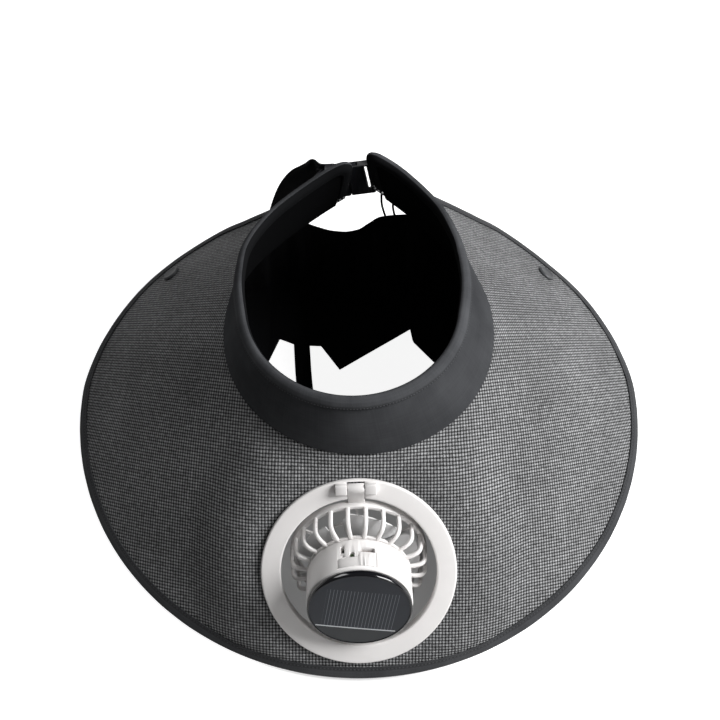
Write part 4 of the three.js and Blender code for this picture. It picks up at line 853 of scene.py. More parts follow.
def cut_away(obj, cutters, operation="DIFFERENCE"):
    """Cuts helper solids, given as (points, faces) in the object's millimetres, out of a piece."""
    for points, faces in cutters:
        mesh = bpy.data.meshes.new("helper")
        mesh.from_pydata((np.asarray(points).reshape(-1, 3) * 0.001).tolist(), [], faces)
        bm = bmesh.new()
        bm.from_mesh(mesh)
        bmesh.ops.recalc_face_normals(bm, faces=bm.faces)
        bm.to_mesh(mesh)
        bm.free()
        helper = bpy.data.objects.new("helper", mesh)
        bpy.context.collection.objects.link(helper)
        cut = obj.modifiers.new("cut", "BOOLEAN")
        cut.operation, cut.solver, cut.object = operation, "EXACT", helper
        apply_modifiers(obj)
        bpy.data.objects.remove(helper)
    return obj


def settle(obj, carry, sharp=40):
    """Carries a finished hard part from its own millimetres to its place on the hat."""
    mesh = obj.data
    points = np.empty(len(mesh.vertices) * 3)
    mesh.vertices.foreach_get("co", points)
    placed = to_part(carry(points.reshape(-1, 3) * 1000))
    mesh.vertices.foreach_set("co", placed.ravel())
    mesh.shade_smooth()
    mesh.set_sharp_from_angle(angle=math.radians(sharp))
    mesh.update()
    return obj


def own_frame(points):
    """Keeps a part in its own millimetres until it is settled."""
    return np.asarray(points, float) * 0.001


# %% Fan ring with its hinge
RING_OUTER, RING_INNER, RING_THICK = 65.0, 51.7, 3.0
COLLAR_OUTER, COLLAR_DEPTH = 55.9, 9.0
ARM_WIDTH, KNUCKLE_WIDTH, BARREL = 11.0, 7.6, 3.6
SEAT = BRIM_WALL / 2 + 0.3


def build_ring():
    top = SEAT + RING_THICK
    outline = rounded([[RING_INNER, top], [RING_OUTER, top], [RING_OUTER, SEAT], [COLLAR_OUTER, SEAT],
                       [COLLAR_OUTER, -COLLAR_DEPTH], [53.4, -COLLAR_DEPTH], [53.4, -1.0], [RING_INNER, 1.0]],
                      [1.6, 2.2, 0.3, 0, 0.5, 0.5, 0, 0.4], 5)
    points, faces = turned(outline, 144)
    ring = piece("fan_ring_body", points, faces, "hat", white_finish, part=own_frame)
    inner = ARM_WIDTH / 2 + 0.3
    notch = box_mesh(-inner, inner, RING_INNER - 9, HINGE_OUT + BARREL + 0.8, -12, 14)
    cut_away(ring, [notch])
    soften(ring, 0.35, 2)
    settle(ring, ring_to_hat)
    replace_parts(ring, "fan_ring")
    outer = inner + KNUCKLE_WIDTH
    outline = rounded([[HINGE_OUT - BARREL, SEAT], [HINGE_OUT - BARREL, HINGE_RISE + BARREL],
                       [HINGE_OUT + BARREL, HINGE_RISE + BARREL], [HINGE_OUT + BARREL, SEAT]], [0, 1.1, 1.6, 0], 4)
    for name, x0, x1 in (("hinge_knuckle_left", -outer, -inner), ("hinge_knuckle_right", inner, outer)):
        solid, around = sweep(outline, [x0, x1], lambda x, y, z: np.stack(np.broadcast_arrays(x, y, z), -1))
        knuckle = piece(name, solid, around, "hat", white_finish, part=own_frame)
        settle(soften(knuckle, 0.45, 3, 50), ring_to_hat)
    return ring


ring = build_ring()


def build_clamp():
    top = -BRIM_WALL / 2 - 0.5
    outline = rounded([[56.2, top], [61, top], [61, top - 3], [56.2, top - 3]], [0.2, 0.3, 1, 1], 4)
    points, faces = turned(outline, 120)
    clamp = piece("clamp_ring_body", ring_to_hat(points), faces, "hat", white_finish, sharp=40)
    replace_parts(clamp, "clamp_ring")


build_clamp()
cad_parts["hinge_pin"].data.materials.clear()
pin_finish = make_plastic("steel pin", (0.5, 0.5, 0.5, 1), 0.3, Metallic=1.0)
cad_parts["hinge_pin"].data.materials.append(pin_finish)

# %% [markdown]
# The cage is a wheel of ribs. Each rib rises from a rim, turns over a rounded shoulder and runs in to the
# housing. A rib is a sweep of a rounded outline along that bend, and all of them are one moulding with the
# rim, the base ring and the arm that hangs from the hinge.

# %% Cage
RIM_RADIUS, RIM_FRONT, RIM_BACK, RIM_WIDTH = 46.4, 4.8, -0.8, 3.0
BASE_RADIUS, BASE_FRONT = 34.6, 21.0
RIB_COUNT = 24


def rib_line():
    """Middle of a rib in (radius, height), with evenly spaced points."""
    knots = np.array([[44.8, 3.2], [44.9, 7.5], [44.9, 12.0], [44.6, 15.5], [43.4, 18.0], [41.0, 19.4], [37.5, 20.0],
                      [34.5, 20.1], [32.0, 20.1]])
    t = np.linspace(0, len(knots) - 1, 25)
    line = np.stack([eased_table(t, range(len(knots)), knots[:, 0]), eased_table(t, range(len(knots)), knots[:, 1])], -1)
    step = unit(np.gradient(line, axis=0))
    return line, np.stack([-step[:, 1], step[:, 0]], -1)


def build_cage():
    line, normal = rib_line()
    outline = rounded([[-1.5, -1.25], [1.5, -1.25], [1.5, 1.25], [-1.5, 1.25]], 1.15, 4)

    def place(station, side, depth):
        k = station.astype(int)
        spot = line[k] + normal[k] * depth[..., None]
        return np.stack(np.broadcast_arrays(side + 0 * depth, spot[..., 0], spot[..., 1]), -1)

    rib_points, rib_faces = sweep(outline, range(len(line)), place)
    parts = [(turned_z(rib_points, -2 * math.pi * (k + 0.5) / RIB_COUNT), rib_faces) for k in range(RIB_COUNT)]
    rim = rounded([[RIM_RADIUS - RIM_WIDTH, RIM_BACK], [RIM_RADIUS, RIM_BACK], [RIM_RADIUS, RIM_FRONT],
                   [RIM_RADIUS - RIM_WIDTH, RIM_FRONT]], 0.7, 3)
    base = rounded([[BASE_RADIUS - 4, BASE_FRONT - 2], [BASE_RADIUS, BASE_FRONT - 2], [BASE_RADIUS + 0.4, BASE_FRONT],
                    [BASE_RADIUS - 4, BASE_FRONT]], 0.5, 3)
    parts += [turned(rim, 120), turned(base, 96)]
    points, faces = joined(*parts)
    cage = piece("cage_ribs", head_to_hat(points), faces, "fan_head", white_finish, sharp=50)
    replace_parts(cage, "fan_cage")
    profile = [[43.8, -2.0], [43.8, 1.7], [52.0, 1.7]]
    angle = np.radians(np.linspace(118, -58, 12))
    profile += [[AXIS_DROP + BARREL * math.cos(a), BARREL * math.sin(a)] for a in angle]
    profile += [[AXIS_DROP - 2.4, -BARREL * 0.9], [52.6, -1.7]]
    solid, around = sweep(np.array(profile), [-ARM_WIDTH / 2, ARM_WIDTH / 2],
                          lambda x, y, z: np.stack(np.broadcast_arrays(x, y, z), -1))
    arm = piece("hinge_arm", solid, around, "fan_head", white_finish, part=own_frame)
    settle(soften(arm, 0.5, 3, 40), head_to_hat)
    return cage


cage = build_cage()
print("cage", len(cage.data.vertices))

# %% [markdown]
# Behind the rotor a plain guard keeps fingers out. The photograph doesn't show it, so it is only rings on
# spokes. The rotor in front of it is of clear plastic, with curved and pitched blades on a boss.

# %% Guard and rotor
def build_guard():
    outer = RIM_RADIUS - RIM_WIDTH - 0.3
    parts = []
    for k in (1, 2, 3):
        radius = outer * k / 3
        parts.append(turned(rounded([[radius - 2, RIM_BACK], [radius, RIM_BACK], [radius, RIM_BACK + 2],
                                     [radius - 2, RIM_BACK + 2]], 0.6, 2), 72))
    for k in range(6):
        points, faces = box_mesh(-0.9, 0.9, outer / 3 - 1, outer - 0.6, RIM_BACK + 0.1, RIM_BACK + 1.9)
        parts.append((turned_z(points, k * math.pi / 3), faces))
    points, faces = joined(*parts)
    guard = piece("guard_rings", head_to_hat(points), faces, "fan_head", white_finish, sharp=40)
    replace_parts(guard, "fan_guard")


def build_rotor():
    boss = turned_solid(np.array([[0, 2.5], [8, 2.5], [9.4, 2.8], [10.6, 3.8], [11, 5.2], [11, 14.2], [10.7, 14.5], [0, 14.5]]), 48)
    parts = [boss]
    u, v = np.meshgrid(np.linspace(0, 1, 14), np.linspace(0, 1, 14), indexing="ij")
    for k in range(5):
        radius = 10.4 + (41.0 - 10.4) * u
        narrow = 1 - 0.25 * (1 - u) ** 2 - 0.12 * smoothstep((u - 0.8) / 0.2)
        angle = np.radians((v - 0.5) * 58 * narrow + 16 * u + 72 * k)
        rise = 4.6 + 7.8 * (v - 0.5) * (1.0 - 0.25 * u) + 3.9 + 1.2 * np.sin(np.pi * v)
        middle = np.stack([radius * np.sin(angle), radius * np.cos(angle), rise], -1)
        layers = [middle + [0, 0, 0.55], middle - [0, 0, 0.55]]
        n = u.shape[0]
        faces = grid_faces(n, n) + [tuple(x + n * n for x in reversed(f)) for f in grid_faces(n, n)]
        rim = [i * n for i in range(n)] + [(n - 1) * n + j for j in range(1, n)]
        rim += [i * n + n - 1 for i in range(n - 2, -1, -1)] + [j for j in range(n - 2, 0, -1)]
        faces += [(a, b, b + n * n, a + n * n) for a, b in zip(rim, rim[1:] + rim[:1])]
        parts.append((np.concatenate([x.reshape(-1, 3) for x in layers]), faces))
    points, faces = joined(*parts)
    rotor = piece("rotor_blades", head_to_hat(points), faces, "rotor", rotor_finish, sharp=45)
    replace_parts(rotor, "fan_rotor")
    return rotor


build_guard()
rotor = build_rotor()

# %% [markdown]
# The housing is a round can. Its upper side has a small cover with a stepped edge, a switch slot, a lamp
# and a charging socket. The openings are cut from the can, and each has something in it at the bottom.

# %% Housing
HUB_BACK, HUB_FRONT = BASE_FRONT + 0.3, 47.0
COVER = dict(left=-12.6, right=11.7, step=0.8, back=33.0, back_left=37.2, front=44.4)
SWITCH = rounded([[-11.2, 27.0], [-8.6, 27.0], [-8.6, 35.0], [-11.2, 35.0]], 0.8, 3)
LAMP = rounded([[-5.5, 37.4], [-5.5, 32.8], [-2.0, 32.8], [-2.0, 37.4]], [0, 1.7, 1.7, 0], 5)
SOCKET = rounded([[1.0, 33.2], [1.0, 29.2], [11.0, 29.2], [11.0, 33.2]], [0, 3.6, 3.6, 0], 6)


def side_patch(x0, x1, inner, outer, back, front, steps=10):
    """A curved block in the can's upper wall, between two places across and along it."""
    angle = np.linspace(math.asin(x0 / BASE_RADIUS), math.asin(x1 / BASE_RADIUS), steps + 1)
    outline = [[inner, back], [outer, back], [outer, front], [inner, front]]
    return sweep(outline, angle, lambda a, r, z: np.stack(np.broadcast_arrays(r * np.sin(a), r * np.cos(a), z + 0 * a), -1))


def side_plug(outline, inner, outer, shrink=0.0):
    """A block in the can's upper wall with an outline given across and along it."""
    outline = np.asarray(outline, float)
    middle = (outline.max(0) + outline.min(0)) / 2
    outline = middle + (outline - middle) * (1 - 2 * shrink / np.ptp(outline, axis=0))

    def place(radius, x, z):
        angle = np.arcsin(x / BASE_RADIUS)
        return np.stack(np.broadcast_arrays(radius * np.sin(angle), radius * np.cos(angle), z + 0 * radius), -1)

    return sweep(outline, [inner, outer], place)


def build_hub():
    can = turned_solid(np.array([[0, 5.0], [1.5, 5.0], [1.5, HUB_BACK], [31.6, HUB_BACK], [32.6, HUB_BACK + 0.1], [33.4, HUB_BACK + 0.5],
                                 [34.2, HUB_BACK + 1.0], [BASE_RADIUS, HUB_BACK + 1.6], [BASE_RADIUS, HUB_FRONT - 1.4],
                                 [34.3, HUB_FRONT - 0.6], [33.6, HUB_FRONT - 0.1], [33.0, HUB_FRONT], [0, HUB_FRONT]]), 144)
    hub = piece("housing_can", *can, "fan_head", white_finish, part=own_frame)
    groove = 0.35
    front = COVER["front"] + groove
    cutters = [side_patch(COVER["left"] - groove, COVER["right"] + groove, 32.8, 36, COVER["back_left"] - groove, front),
               side_patch(COVER["step"] - groove, COVER["right"] + groove, 32.8, 36, COVER["back"] - groove, front)]
    cutters += [side_plug(outline, BASE_RADIUS - 4.5, 36) for outline in (SWITCH, LAMP, SOCKET)]
    cut_away(hub, cutters)
    soften(hub, 0.2, 2, 50)
    settle(hub, head_to_hat)
    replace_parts(hub, "fan_hub")
    plate = side_patch(COVER["left"], COVER["right"], 33.2, BASE_RADIUS, COVER["back_left"], COVER["front"])
    cover = piece("port_cover_plate", *plate, "fan_head", white_finish, part=own_frame)
    raised = side_patch(COVER["step"], COVER["right"], 33.2, BASE_RADIUS, COVER["back"], COVER["front"] - 0.01)
    cut_away(cover, [raised], "UNION")
    settle(soften(cover, 0.2, 2, 50), head_to_hat)
    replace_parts(cover, "port_cover")
    deep = BASE_RADIUS - 4.4
    for name, outline in (("switch", SWITCH), ("lamp", LAMP), ("socket", SOCKET)):
        bed = piece(name + "_bed", *side_plug(outline, deep - 0.4, deep + 0.5, 0.05), "fan_head", port_finish, part=own_frame)
        settle(bed, head_to_hat)
    small = [("switch_slider", side_patch(-10.9, -8.9, deep + 0.5, BASE_RADIUS - 0.3, 32.6, 34.6), white_finish, 0.3),
             ("socket_tongue", side_patch(3.0, 9.0, deep + 0.5, BASE_RADIUS - 1.4, 31.0, 32.4), metal_finish, 0.1),
             ("lamp_lens", side_patch(-4.8, -2.7, deep + 0.5, BASE_RADIUS - 1.0, 34.0, 36.6), lamp_finish, 0.6)]
    for name, solid, finish, edge in small:
        settle(soften(piece(name, *solid, "fan_head", finish, part=own_frame), edge, 3), head_to_hat)
    return hub


hub = build_hub()

# %% [markdown]
# The panel on the housing's nose is a thick disc of gloss black casting with a dark blue cell in its face.
# The cell's fine silver lines and its brighter bus bar are drawn by its finish, in the panel's own plane,
# since they are thinner than a hair. Clear resin over them makes the gloss.

# %% Solar panel
PANEL_RADIUS, PANEL_BACK, PANEL_FRONT, CELL_RADIUS = 34.0, HUB_FRONT + 0.3, HUB_FRONT + 4.8, 32.6


def make_cell_finish():
    finish, tree, shader = new_finish("solar cell under resin", Roughness=0.4, Specular_IOR_Level=0.3, Coat_Weight=0.35, Coat_Roughness=0.1)
    split = add_node(tree, "ShaderNodeSeparateXYZ", [cloth_marks(tree)])
    x, y = split.outputs[0], split.outputs[1]

    def band(value, low, high):
        return calc(tree, "MULTIPLY", calc(tree, "GREATER_THAN", value, low * 0.001), calc(tree, "LESS_THAN", value, high * 0.001))

    field = calc(tree, "MULTIPLY", band(x, -23.0, 25.0), band(y, -17.3, 17.8))
    phase = calc(tree, "FRACT", calc(tree, "DIVIDE", x, 0.0022))
    line = calc(tree, "MULTIPLY", calc(tree, "LESS_THAN", calc(tree, "ABSOLUTE", calc(tree, "SUBTRACT", phase, 0.5)), 0.075), field)
    bar = calc(tree, "MULTIPLY", band(y, -18.3, -17.3), band(x, -26.5, 26.0))
    below = calc(tree, "LESS_THAN", y, -0.0178)
    patch = use_group(tree, MOTTLE, Size=0.01, Contrast=1.0).outputs["Value"]
    base = mixed(tree, patch, (0.004, 0.006, 0.012, 1), (0.010, 0.014, 0.022, 1))
    base = mixed(tree, below, base, (0.020, 0.023, 0.026, 1))
    base = mixed(tree, calc(tree, "MULTIPLY", line, 0.55), base, (0.2, 0.22, 0.25, 1))
    tree.links.new(mixed(tree, bar, base, (0.62, 0.64, 0.66, 1)), shader.inputs["Base Color"])
    return finish


def build_panel():
    edge = [[-0.8, PANEL_BACK], [-0.2, PANEL_BACK + 0.3], [0, PANEL_BACK + 0.9], [0, PANEL_FRONT - 1.2],
            [-0.2, PANEL_FRONT - 0.4], [-0.7, PANEL_FRONT - 0.05], [-1.1, PANEL_FRONT], [-1.15, PANEL_FRONT - 1.2]]
    outline = np.array([[0, PANEL_BACK], *[[PANEL_RADIUS + x, z] for x, z in edge], [0, PANEL_FRONT - 1.2]])
    bezel = piece("panel_casting", head_to_hat(turned_solid(outline, 144)[0]), turned_solid(outline, 144)[1], "fan_head", bezel_finish, sharp=50)
    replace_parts(bezel, "panel_bezel")
    radius = np.array([0, 8, 16, 24, 30, 32.4, CELL_RADIUS, CELL_RADIUS, 0])
    dome = PANEL_FRONT - 0.15 - 0.25 * (radius / CELL_RADIUS) ** 4
    dome[-2:] = PANEL_FRONT - 1.0
    points, faces = turned_solid(np.stack([radius, dome], -1), 144)
    marks = turned_z(points, math.radians(10))[:, :2]
    cell = piece("solar_cell_face", head_to_hat(points), faces, "fan_head", make_cell_finish(), cloth=marks, sharp=50)
    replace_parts(cell, "solar_cell")
    return cell


cell = build_panel()

# %% [markdown]
# Behind the head the two band ends are joined by a strap with a side release buckle. The buckle has a frame
# of its own: X runs along the strap, Y away from the head and Z up the strap's width. Its socket and plug
# are boxes in that frame, with softened edges, a slot for the webbing and room for the two prongs.

# %% Buckle
BUCKLE_TILT, BUCKLE_TURN = math.radians(6), math.radians(10)
BUCKLE_HALF, BUCKLE_THICK = 14.5, 6.0
SOCKET_LEFT, SOCKET_RIGHT, SLOT_WIDTH, SOCKET_BAR = -8.0, 5.4, 2.3, 3.0
PLUG_LEFT, PRONG = -23.0, 8.0
WEB_WIDTH, WEB_WALL = 25.0, 1.5
TIP = brim_point(RIGHT_END, 0.0)
BUCKLE_PLACE = np.array([TIP[0] - 8.9, TIP[1] + 8.5, TIP[2] - 1])


def buckle_way(points):
    points = np.asarray(points, float)
    c, s = math.cos(BUCKLE_TURN), math.sin(BUCKLE_TURN)
    raised = np.stack([points[..., 0] * c - points[..., 2] * s, points[..., 1],
                       points[..., 0] * s + points[..., 2] * c], -1)
    return turned_x(raised, -BUCKLE_TILT)


def buckle_to_hat(points):
    return buckle_way(points) + BUCKLE_PLACE


BUCKLE_UP = buckle_way([0, 0, 1.0])


def rounded_box(x0, x1, y0, y1, z0, z1, radius):
    """A box whose four edges along Z are rounded."""
    outline = rounded([[x0, y0], [x1, y0], [x1, y1], [x0, y1]], radius, 4)
    return sweep(outline, [z0, z1], lambda z, x, y: np.stack(np.broadcast_arrays(x, y, z), -1))


def build_buckle():
    half, high = BUCKLE_THICK / 2, BUCKLE_HALF
    bar_end = SOCKET_RIGHT + SLOT_WIDTH + SOCKET_BAR
    socket = piece("buckle_socket_body", *rounded_box(SOCKET_LEFT, bar_end, -half, half, -high, high, 1.6), "hat", buckle_finish, part=own_frame)
    cut_away(socket, [box_mesh(SOCKET_RIGHT, SOCKET_RIGHT + SLOT_WIDTH, -9, 9, -WEB_WIDTH / 2 - 0.6, WEB_WIDTH / 2 + 0.6),
                      box_mesh(SOCKET_LEFT - 1, SOCKET_LEFT + PRONG + 1, -half + 1.6, half - 1.6, -high - 1, high + 1)])
    settle(soften(socket, 0.7), buckle_to_hat)
    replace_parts(socket, "buckle_socket")
    right = SOCKET_LEFT - 0.3
    plug = piece("buckle_plug_body", *rounded_box(PLUG_LEFT, right, -half, half, -high, high, 1.6), "hat", buckle_finish, part=own_frame)
    inner = half - 1.9
    prongs = [box_mesh(right - 1, right + PRONG, -inner, inner, low, low + 6) for low in (-high, high - 6)]
    cut_away(plug, prongs, "UNION")
    cut_away(plug, [box_mesh(x, x + SLOT_WIDTH, -9, 9, -WEB_WIDTH / 2 - 0.6, WEB_WIDTH / 2 + 0.6) for x in (PLUG_LEFT + 3, PLUG_LEFT + 8)])
    settle(soften(plug, 0.5), buckle_to_hat)
    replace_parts(plug, "buckle_plug")


build_buckle()

# %% [markdown]
# Webbing is a flat strap. It follows a smooth curve through a few chosen points, and at each point we say
# which way its width lies, so it can lie on the band, pass a buckle's bar and twist freely in the air. Two
# thin elastic loops hang from the right end of the band and hold the neck flap's edge.

# %% Straps
def spline(knots, count):
    """A smooth curve through the rows of knots, at even steps of its length."""
    knots = np.asarray(knots, float)
    ends = np.concatenate([[2 * knots[0] - knots[1]], knots, [2 * knots[-1] - knots[-2]]])
    fine = []
    for k in range(len(knots) - 1):
        a, b, c, d = ends[k:k + 4]
        t = np.linspace(0, 1, 40, endpoint=k == len(knots) - 2)[:, None]
        fine.append(0.5 * (2 * b + (c - a) * t + (2 * a - 5 * b + 4 * c - d) * t ** 2 + (3 * b - a - 3 * c + d) * t ** 3))
    fine = np.concatenate(fine)
    run = np.concatenate([[0], np.cumsum(np.linalg.norm(np.diff(fine, axis=0), axis=1))])
    even = np.linspace(0, run[-1], count)
    knot = np.interp(even, run, np.linspace(0, len(knots) - 1, len(run)))
    return np.stack([np.interp(even, run, fine[:, k]) for k in range(3)], -1), even, knot


def strap(name, knots, widths, width, wall, count, finish, body="hat", part=to_part):
    points, run, knot = spline(knots, count)
    tangent = unit(np.gradient(points, axis=0))
    side = np.stack([eased_table(knot, range(len(widths)), np.asarray(widths, float)[:, k]) for k in range(3)], -1)
    side = unit(side - tangent * (side * tangent).sum(-1, keepdims=True))
    normal = np.cross(tangent, side)
    outline = rounded([[-width / 2, -wall / 2], [width / 2, -wall / 2], [width / 2, wall / 2], [-width / 2, wall / 2]], wall * 0.4, 2)
    outline = np.concatenate([[[x, -wall / 2] for x in np.linspace(-0.4, 0.4, 7) * width], outline[3:-3], [[x, wall / 2] for x in np.linspace(0.4, -0.4, 7) * width], outline[-3:], outline[:3]])

    def place(station, across, height):
        k = station.astype(int)
        return points[k] + side[k] * across[..., None] + normal[k] * height[..., None]

    solid, faces = sweep(outline, range(count), place)
    marks = np.stack(np.broadcast_arrays(run[:, None], outline[None, :, 0]), -1)
    made = piece(name, solid, faces, body, finish, cloth=marks, sharp=60, part=part)
    return made


def build_straps():
    reach = WEB_WALL / 2 + 0.3
    face = BUCKLE_THICK / 2
    bar = SOCKET_RIGHT + SLOT_WIDTH
    foot, _, rise, out = band_frame(RIGHT_END - 12, BAND_HEIGHT * 0.45)
    after, _, rise_after, out_after = band_frame(RIGHT_END - 7, BAND_HEIGHT * 0.44)
    knots = [foot + out * (BAND_WALL / 2 + 0.3 + WEB_WALL / 2), after + out_after * (BAND_WALL / 2 + 0.3 + 1.4 * WEB_WALL),
             buckle_to_hat([bar + SOCKET_BAR + reach + 1, face - 0.6, 3]), buckle_to_hat([bar + SOCKET_BAR + reach, face + reach + 0.4, 3]),
             buckle_to_hat([bar + 1, face + reach, 2.5])]
    right = strap("strap_right_web", knots, [rise, rise_after, BUCKLE_UP, BUCKLE_UP, BUCKLE_UP], WEB_WIDTH * 0.84, WEB_WALL, 40, webbing_finish)
    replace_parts(right, "web_right")
    foot, _, rise, out = band_frame(-LEFT_END + 22, BAND_HEIGHT * 0.45)
    after, _, rise_after, out_after = band_frame(-LEFT_END + 18, BAND_HEIGHT * 0.43)
    knots = [foot + out * (BAND_WALL / 2 + 0.3 + WEB_WALL / 2), after + out_after * (BAND_WALL / 2 + 0.3 + 2 * WEB_WALL),
             buckle_to_hat([PLUG_LEFT - 4, -face * 0.4, 0]), buckle_to_hat([PLUG_LEFT - 0.3 - WEB_WALL, 0, 0])]
    left = strap("strap_left_web", knots, [rise, rise_after, BUCKLE_UP, BUCKLE_UP], WEB_WIDTH, WEB_WALL, 40, webbing_finish)
    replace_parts(left, "web_left")
    lay = face + WEB_WALL / 2 + 0.3
    edge = brim_point(-120.0, brim_width(-120.0))
    knots = [buckle_to_hat([PLUG_LEFT + 6, lay, 1]), buckle_to_hat([PLUG_LEFT - 3.5, lay + 1.4, 1.4]), *(edge + TAIL_PATH)]
    tail = strap("strap_loose_tail", knots, [BUCKLE_UP, BUCKLE_UP, *TAIL_WIDTHS], WEB_WIDTH, WEB_WALL, 110, webbing_finish)
    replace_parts(tail, "strap_tail")
    return tail


TAIL_PATH = np.array([(22.7, -6, 48), (16.2, -4, 43.5), (9.1, -0.5, 31), (0.5, 5, 6), (-8.7, 9.5, -30.8)])
TAIL_WIDTHS = [(-0.12, -0.2, 0.95), (-0.34, -0.31, 0.88), (-0.62, -0.24, 0.75), (-0.92, -0.08, 0.38), (-0.97, 0.1, 0.12)]
tail = build_straps()

# %% [markdown]
# The neck flap is a thin black cloth that is snapped under the rear of the brim. It sags between its snaps, hangs in
# folds to the table, turns and lies forward in soft ripples up to its hem. It is one sheet here, whose folds come from
# a few waves, and its width, length and area are printed as it is built.

# %% Neck flap
FLAP_SIDE_SAG, FLAP_TURN, CLOTH_WALL = 6.0, 9.0, 1.2
FLAP_REAR_SAG = np.array([(0, 0), (0.1, 4.5), (0.2, 11.5), (0.3, 17), (0.4, 19), (0.48, 17), (0.55, 10), (0.64, 1.5),
                          (0.76, 0), (1, 0)])
FOLD_DEPTH, FOLD_COUNT = 3.2, 17
FLAP_STOPS = [0, 0.29, 0.71, 1]
HEM_PLAN = [(0.0, -1.42, 0.75), (0.1, -1.12, 0.46), (0.22, -0.79, 0.33), (0.27, -0.67, 0.64), (0.33, -0.53, 0.58),
            (0.43, -0.32, 0.57), (0.48, -0.16, 0.34), (0.63, 0.44, 0.74), (0.65, 0.46, 0.61), (0.72, 0.63, 0.41),
            (0.86, 1.08, 0.48), (1.0, 1.38, 0.73)]


def hat_to_table(point):
    return turned_x(point, LEAN) + [0, 0, LIFT - TABLE]


def flap_corner(angle):
    centre, axes = snap_place(angle)
    return hat_to_table(centre - axes[:, 2] * (BRIM_WALL / 2 + 0.6 + 2.2 + CLOTH_WALL / 2))


def flap_top(u):
    corners = np.array([flap_corner(a) for a in (-92.6, -116.6, 116.6, 92.6)])
    k = np.clip(np.searchsorted(FLAP_STOPS, u, side="right") - 1, 0, 2)
    stops = np.array(FLAP_STOPS)
    t = (u - stops[k]) / (stops[k + 1] - stops[k])
    point = corners[k] * (1 - t)[:, None] + corners[k + 1] * t[:, None]
    point[:, 2] -= np.where(k == 1, eased_table(t, *FLAP_REAR_SAG.T), FLAP_SIDE_SAG * 4 * t * (1 - t))
    return point


def flap_points(u, v):
    """Middle of the cloth on a grid of u, along the flap, and v, from its top edge to its hem."""
    rows = np.array(HEM_PLAN)
    top = flap_top(u)[:, None, :]
    hem = np.stack([BAND_RADIUS * np.interp(u, rows[:, 0], rows[:, 1]), BAND_RADIUS * np.interp(u, rows[:, 0], rows[:, 2]), 0 * u], -1)[:, None, :]
    foot = top * 0.94 + hem * 0.06
    foot[..., 2] = 0
    away = unit(foot * [1, 1, 0])
    forward = unit(hem - foot)
    lying = np.linalg.norm(hem - foot, axis=-1)
    level = CLOTH_WALL / 2 + 0.1
    u, v = u[:, None], v[None, :]
    fold = FOLD_DEPTH * np.sin(FOLD_COUNT * np.pi * u) * (0.75 + 0.25 * np.sin(7.3 * u + 1)) + 1.3 * np.sin(41 * np.pi * u + 2)
    t = v / 0.4
    hanging = top * (1 - t)[..., None] + foot * t[..., None]
    hanging[..., 2] = top[..., 2] * (1 - t) + (level + FLAP_TURN) * t
    hanging = hanging + away * (fold * np.sin(np.pi * np.minimum(t * 0.8, 1)))[..., None]
    t = (v - 0.4) / 0.6
    turn = np.clip(t / 0.2, 0, 1) * np.pi / 2
    run = np.maximum(t - 0.2, 0) / 0.8 * np.maximum(lying - FLAP_TURN, 1)
    ripple = FOLD_DEPTH * 0.9 * np.abs(np.sin(FOLD_COUNT * 0.5 * np.pi * u)) * np.sin(np.pi * np.clip(t, 0, 1))
    flat = foot + forward * (FLAP_TURN * (1 - np.cos(turn)) + run)[..., None]
    flat = flat + away * (fold * math.sin(math.pi * 0.8) * (1 - t))[..., None]
    flat[..., 2] = level + FLAP_TURN * (1 - np.sin(turn)) + ripple
    return np.where((v < 0.4)[..., None], hanging, flat)


def build_flap():
    u, v = np.linspace(0, 1, 420), np.linspace(0, 1, 80)
    points = flap_points(u, v)
    along = np.linalg.norm(np.diff(points, axis=0), axis=-1).sum(0)
    down = np.linalg.norm(np.diff(points, axis=1), axis=-1).sum(1)
    print("flap width top, middle, hem", along[[0, 40, -1]].round(), "length", down[[5, 100, 210, 320, -5]].round())
    marks = np.stack(np.broadcast_arrays(u[:, None] * along.mean(), v[None, :] * down.mean()), -1)
    made = piece("neck_flap_cloth", points, grid_faces(len(u), len(v)), "hat", flap_finish, cloth=marks, part=table_to_part)
    thicken(made, CLOTH_WALL * 0.75)
    area = sum(p.area for p in made.data.polygons) / 2
    print("flap area", round(area, 4))
    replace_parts(made, "neck_flap")
    return made, area, along.mean() * 0.001


flap, flap_area, flap_width = build_flap()
knots = [(-0.485 * BAND_RADIUS, 0.61 * BAND_RADIUS, 0.7), (-0.46 * BAND_RADIUS, 0.3 * BAND_RADIUS, 0.7),
         (-0.43 * BAND_RADIUS, 0.05 * BAND_RADIUS, 0.7), (-0.36 * BAND_RADIUS, -0.4 * BAND_RADIUS, 0.7)]
tie = strap("flap_tie_ribbon", knots, [(1, 0, 0)] * 4, 13, CLOTH_WALL * 0.8, 40, flap_finish, part=table_to_part)
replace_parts(tie, "flap_tie")


def build_strands():
    """Two elastic loops that hang from the right rear of the brim to the flap's top edge."""
    edge = flap_points(np.linspace(0, 1, 420), np.linspace(0, 1, 80))[:, 0]
    for name, top, share in (("elastic_loop_inner", (17, 119, 12), 0.575), ("elastic_loop_outer", (27, 115.5, 9), 0.6)):
        start = hat_to_table(np.array(top, float))
        end = edge[int(share * 419)] - np.array([0, 0, 2.0])
        bow = (start + end) / 2 + np.array([-1.5, 0, 0])
        made = strap(name, [start, bow, end], [(1, 0, 0)] * 3, 1.7, 1.3, 24, webbing_finish, part=table_to_part)
        print(name, start.round(), end.round())


build_strands()

# %% [markdown]
# The photograph was taken from above the front of the hat with a fairly near camera. Its place and lens were worked out
# from known circles: the ring, the panel and the brim's resting edge. The floor is pale and glows evenly white to the
# camera, except for a painted shadow: a dim patch under the fan, seen through the ring, stands in for the hat's shade
# on the floor. Three large soft lights with a bright world give the even light of a product picture.

# %% Camera
VIEW_ELEVATION = math.radians(59.5)
CAMERA_AWAY, LENS, SENSOR = 700.0, 50.0, 36.0
SHIFT_X, SHIFT_Y = 0.0015, -0.0361


def turn_only(v):
    return turned_x(np.asarray(v, float), LEAN)


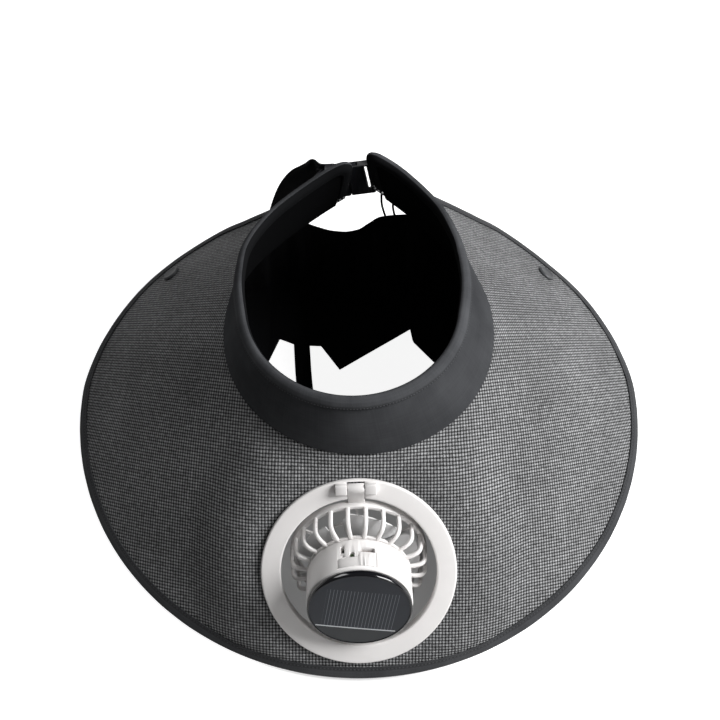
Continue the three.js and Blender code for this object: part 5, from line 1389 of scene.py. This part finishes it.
def place_camera():
    look = np.array([0, math.cos(VIEW_ELEVATION), -math.sin(VIEW_ELEVATION)])
    up = np.array([0, math.sin(VIEW_ELEVATION), math.cos(VIEW_ELEVATION)])
    camera = bpy.data.objects.new("camera", bpy.data.cameras.new("camera"))
    bpy.context.collection.objects.link(camera)
    camera.data.lens, camera.data.sensor_width = LENS, SENSOR
    camera.data.shift_x, camera.data.shift_y = SHIFT_X, SHIFT_Y
    camera.data.clip_start, camera.data.clip_end = 0.05, 30
    axes = np.stack([np.array([1, 0, 0]), turn_only(up), -turn_only(look)], 1)
    camera.matrix_world = Matrix.Translation(Vector(to_part(-look * CAMERA_AWAY))) @ Matrix(axes.tolist()).to_4x4()
    bpy.context.scene.camera = camera
    return camera


camera = place_camera()

# %% Floor and light
def make_floor():
    finish, tree, shader = new_finish("pale table", Roughness=0.75, Emission_Strength=0.9)
    seen = add_node(tree, "ShaderNodeLightPath").outputs["Is Camera Ray"]
    place = add_node(tree, "ShaderNodeNewGeometry").outputs["Position"]
    offset = add_node(tree, "ShaderNodeVectorMath", [place, (0, -0.1, 0)], operation="SUBTRACT").outputs[0]
    away = add_node(tree, "ShaderNodeVectorMath", [offset], operation="LENGTH").outputs["Value"]
    # Painted shadow: the floor's glow drops to a dim grey in a patch under the fan, standing in for the hat's shade
    # there.
    glow_with_painted_shadow = add_node(tree, "ShaderNodeMapRange", {"Value": away, 1: 0.07, 2: 0.1, 3: 0.13, 4: 1.0}).outputs[0]
    tree.links.new(mixed(tree, calc(tree, "MULTIPLY", seen, glow_with_painted_shadow), grey(0), grey(1)), shader.inputs["Emission Color"])
    patch = use_group(tree, MOTTLE, Size=0.3, Contrast=0.5).outputs["Value"]
    tree.links.new(mixed(tree, patch, (0.5, 0.5, 0.5, 1), (0.54, 0.54, 0.54, 1)), shader.inputs["Base Color"])
    mesh = bpy.data.meshes.new("floor")
    size = 6.0
    mesh.from_pydata([(-size, -size, 0), (size, -size, 0), (size, size, 0), (-size, size, 0)], [], [(0, 1, 2, 3)])
    mesh.materials.append(finish)
    floor = bpy.data.objects.new("floor", mesh)
    bpy.context.collection.objects.link(floor)


def add_light(name, place, target, size, power):
    light = bpy.data.lights.new(name, "AREA")
    light.shape, light.size, light.energy = "SQUARE", size, power
    made = bpy.data.objects.new(name, light)
    bpy.context.collection.objects.link(made)
    way = Vector(target) - Vector(place)
    made.matrix_world = Matrix.Translation(Vector(place)) @ way.to_track_quat("-Z", "Y").to_matrix().to_4x4()


def make_light():
    world = bpy.data.worlds.new("studio")
    world.use_nodes = True
    seen = add_node(world.node_tree, "ShaderNodeLightPath").outputs["Is Camera Ray"]
    colour = mixed(world.node_tree, seen, grey(0.1), grey(1.0))
    world.node_tree.links.new(colour, world.node_tree.nodes["Background"].inputs["Color"])
    bpy.context.scene.world = world
    add_light("key", (1.3, 0.0, 1.15), (0, 0, 0), 0.9, 48)
    add_light("fill", (0.9, -1.1, 0.7), (0, 0, 0), 0.6, 4)
    add_light("back", (-0.9, 1.1, 0.8), (0, 0, 0), 0.6, 5)
    bpy.context.scene.view_settings.view_transform = "Standard"


make_floor()
make_light()
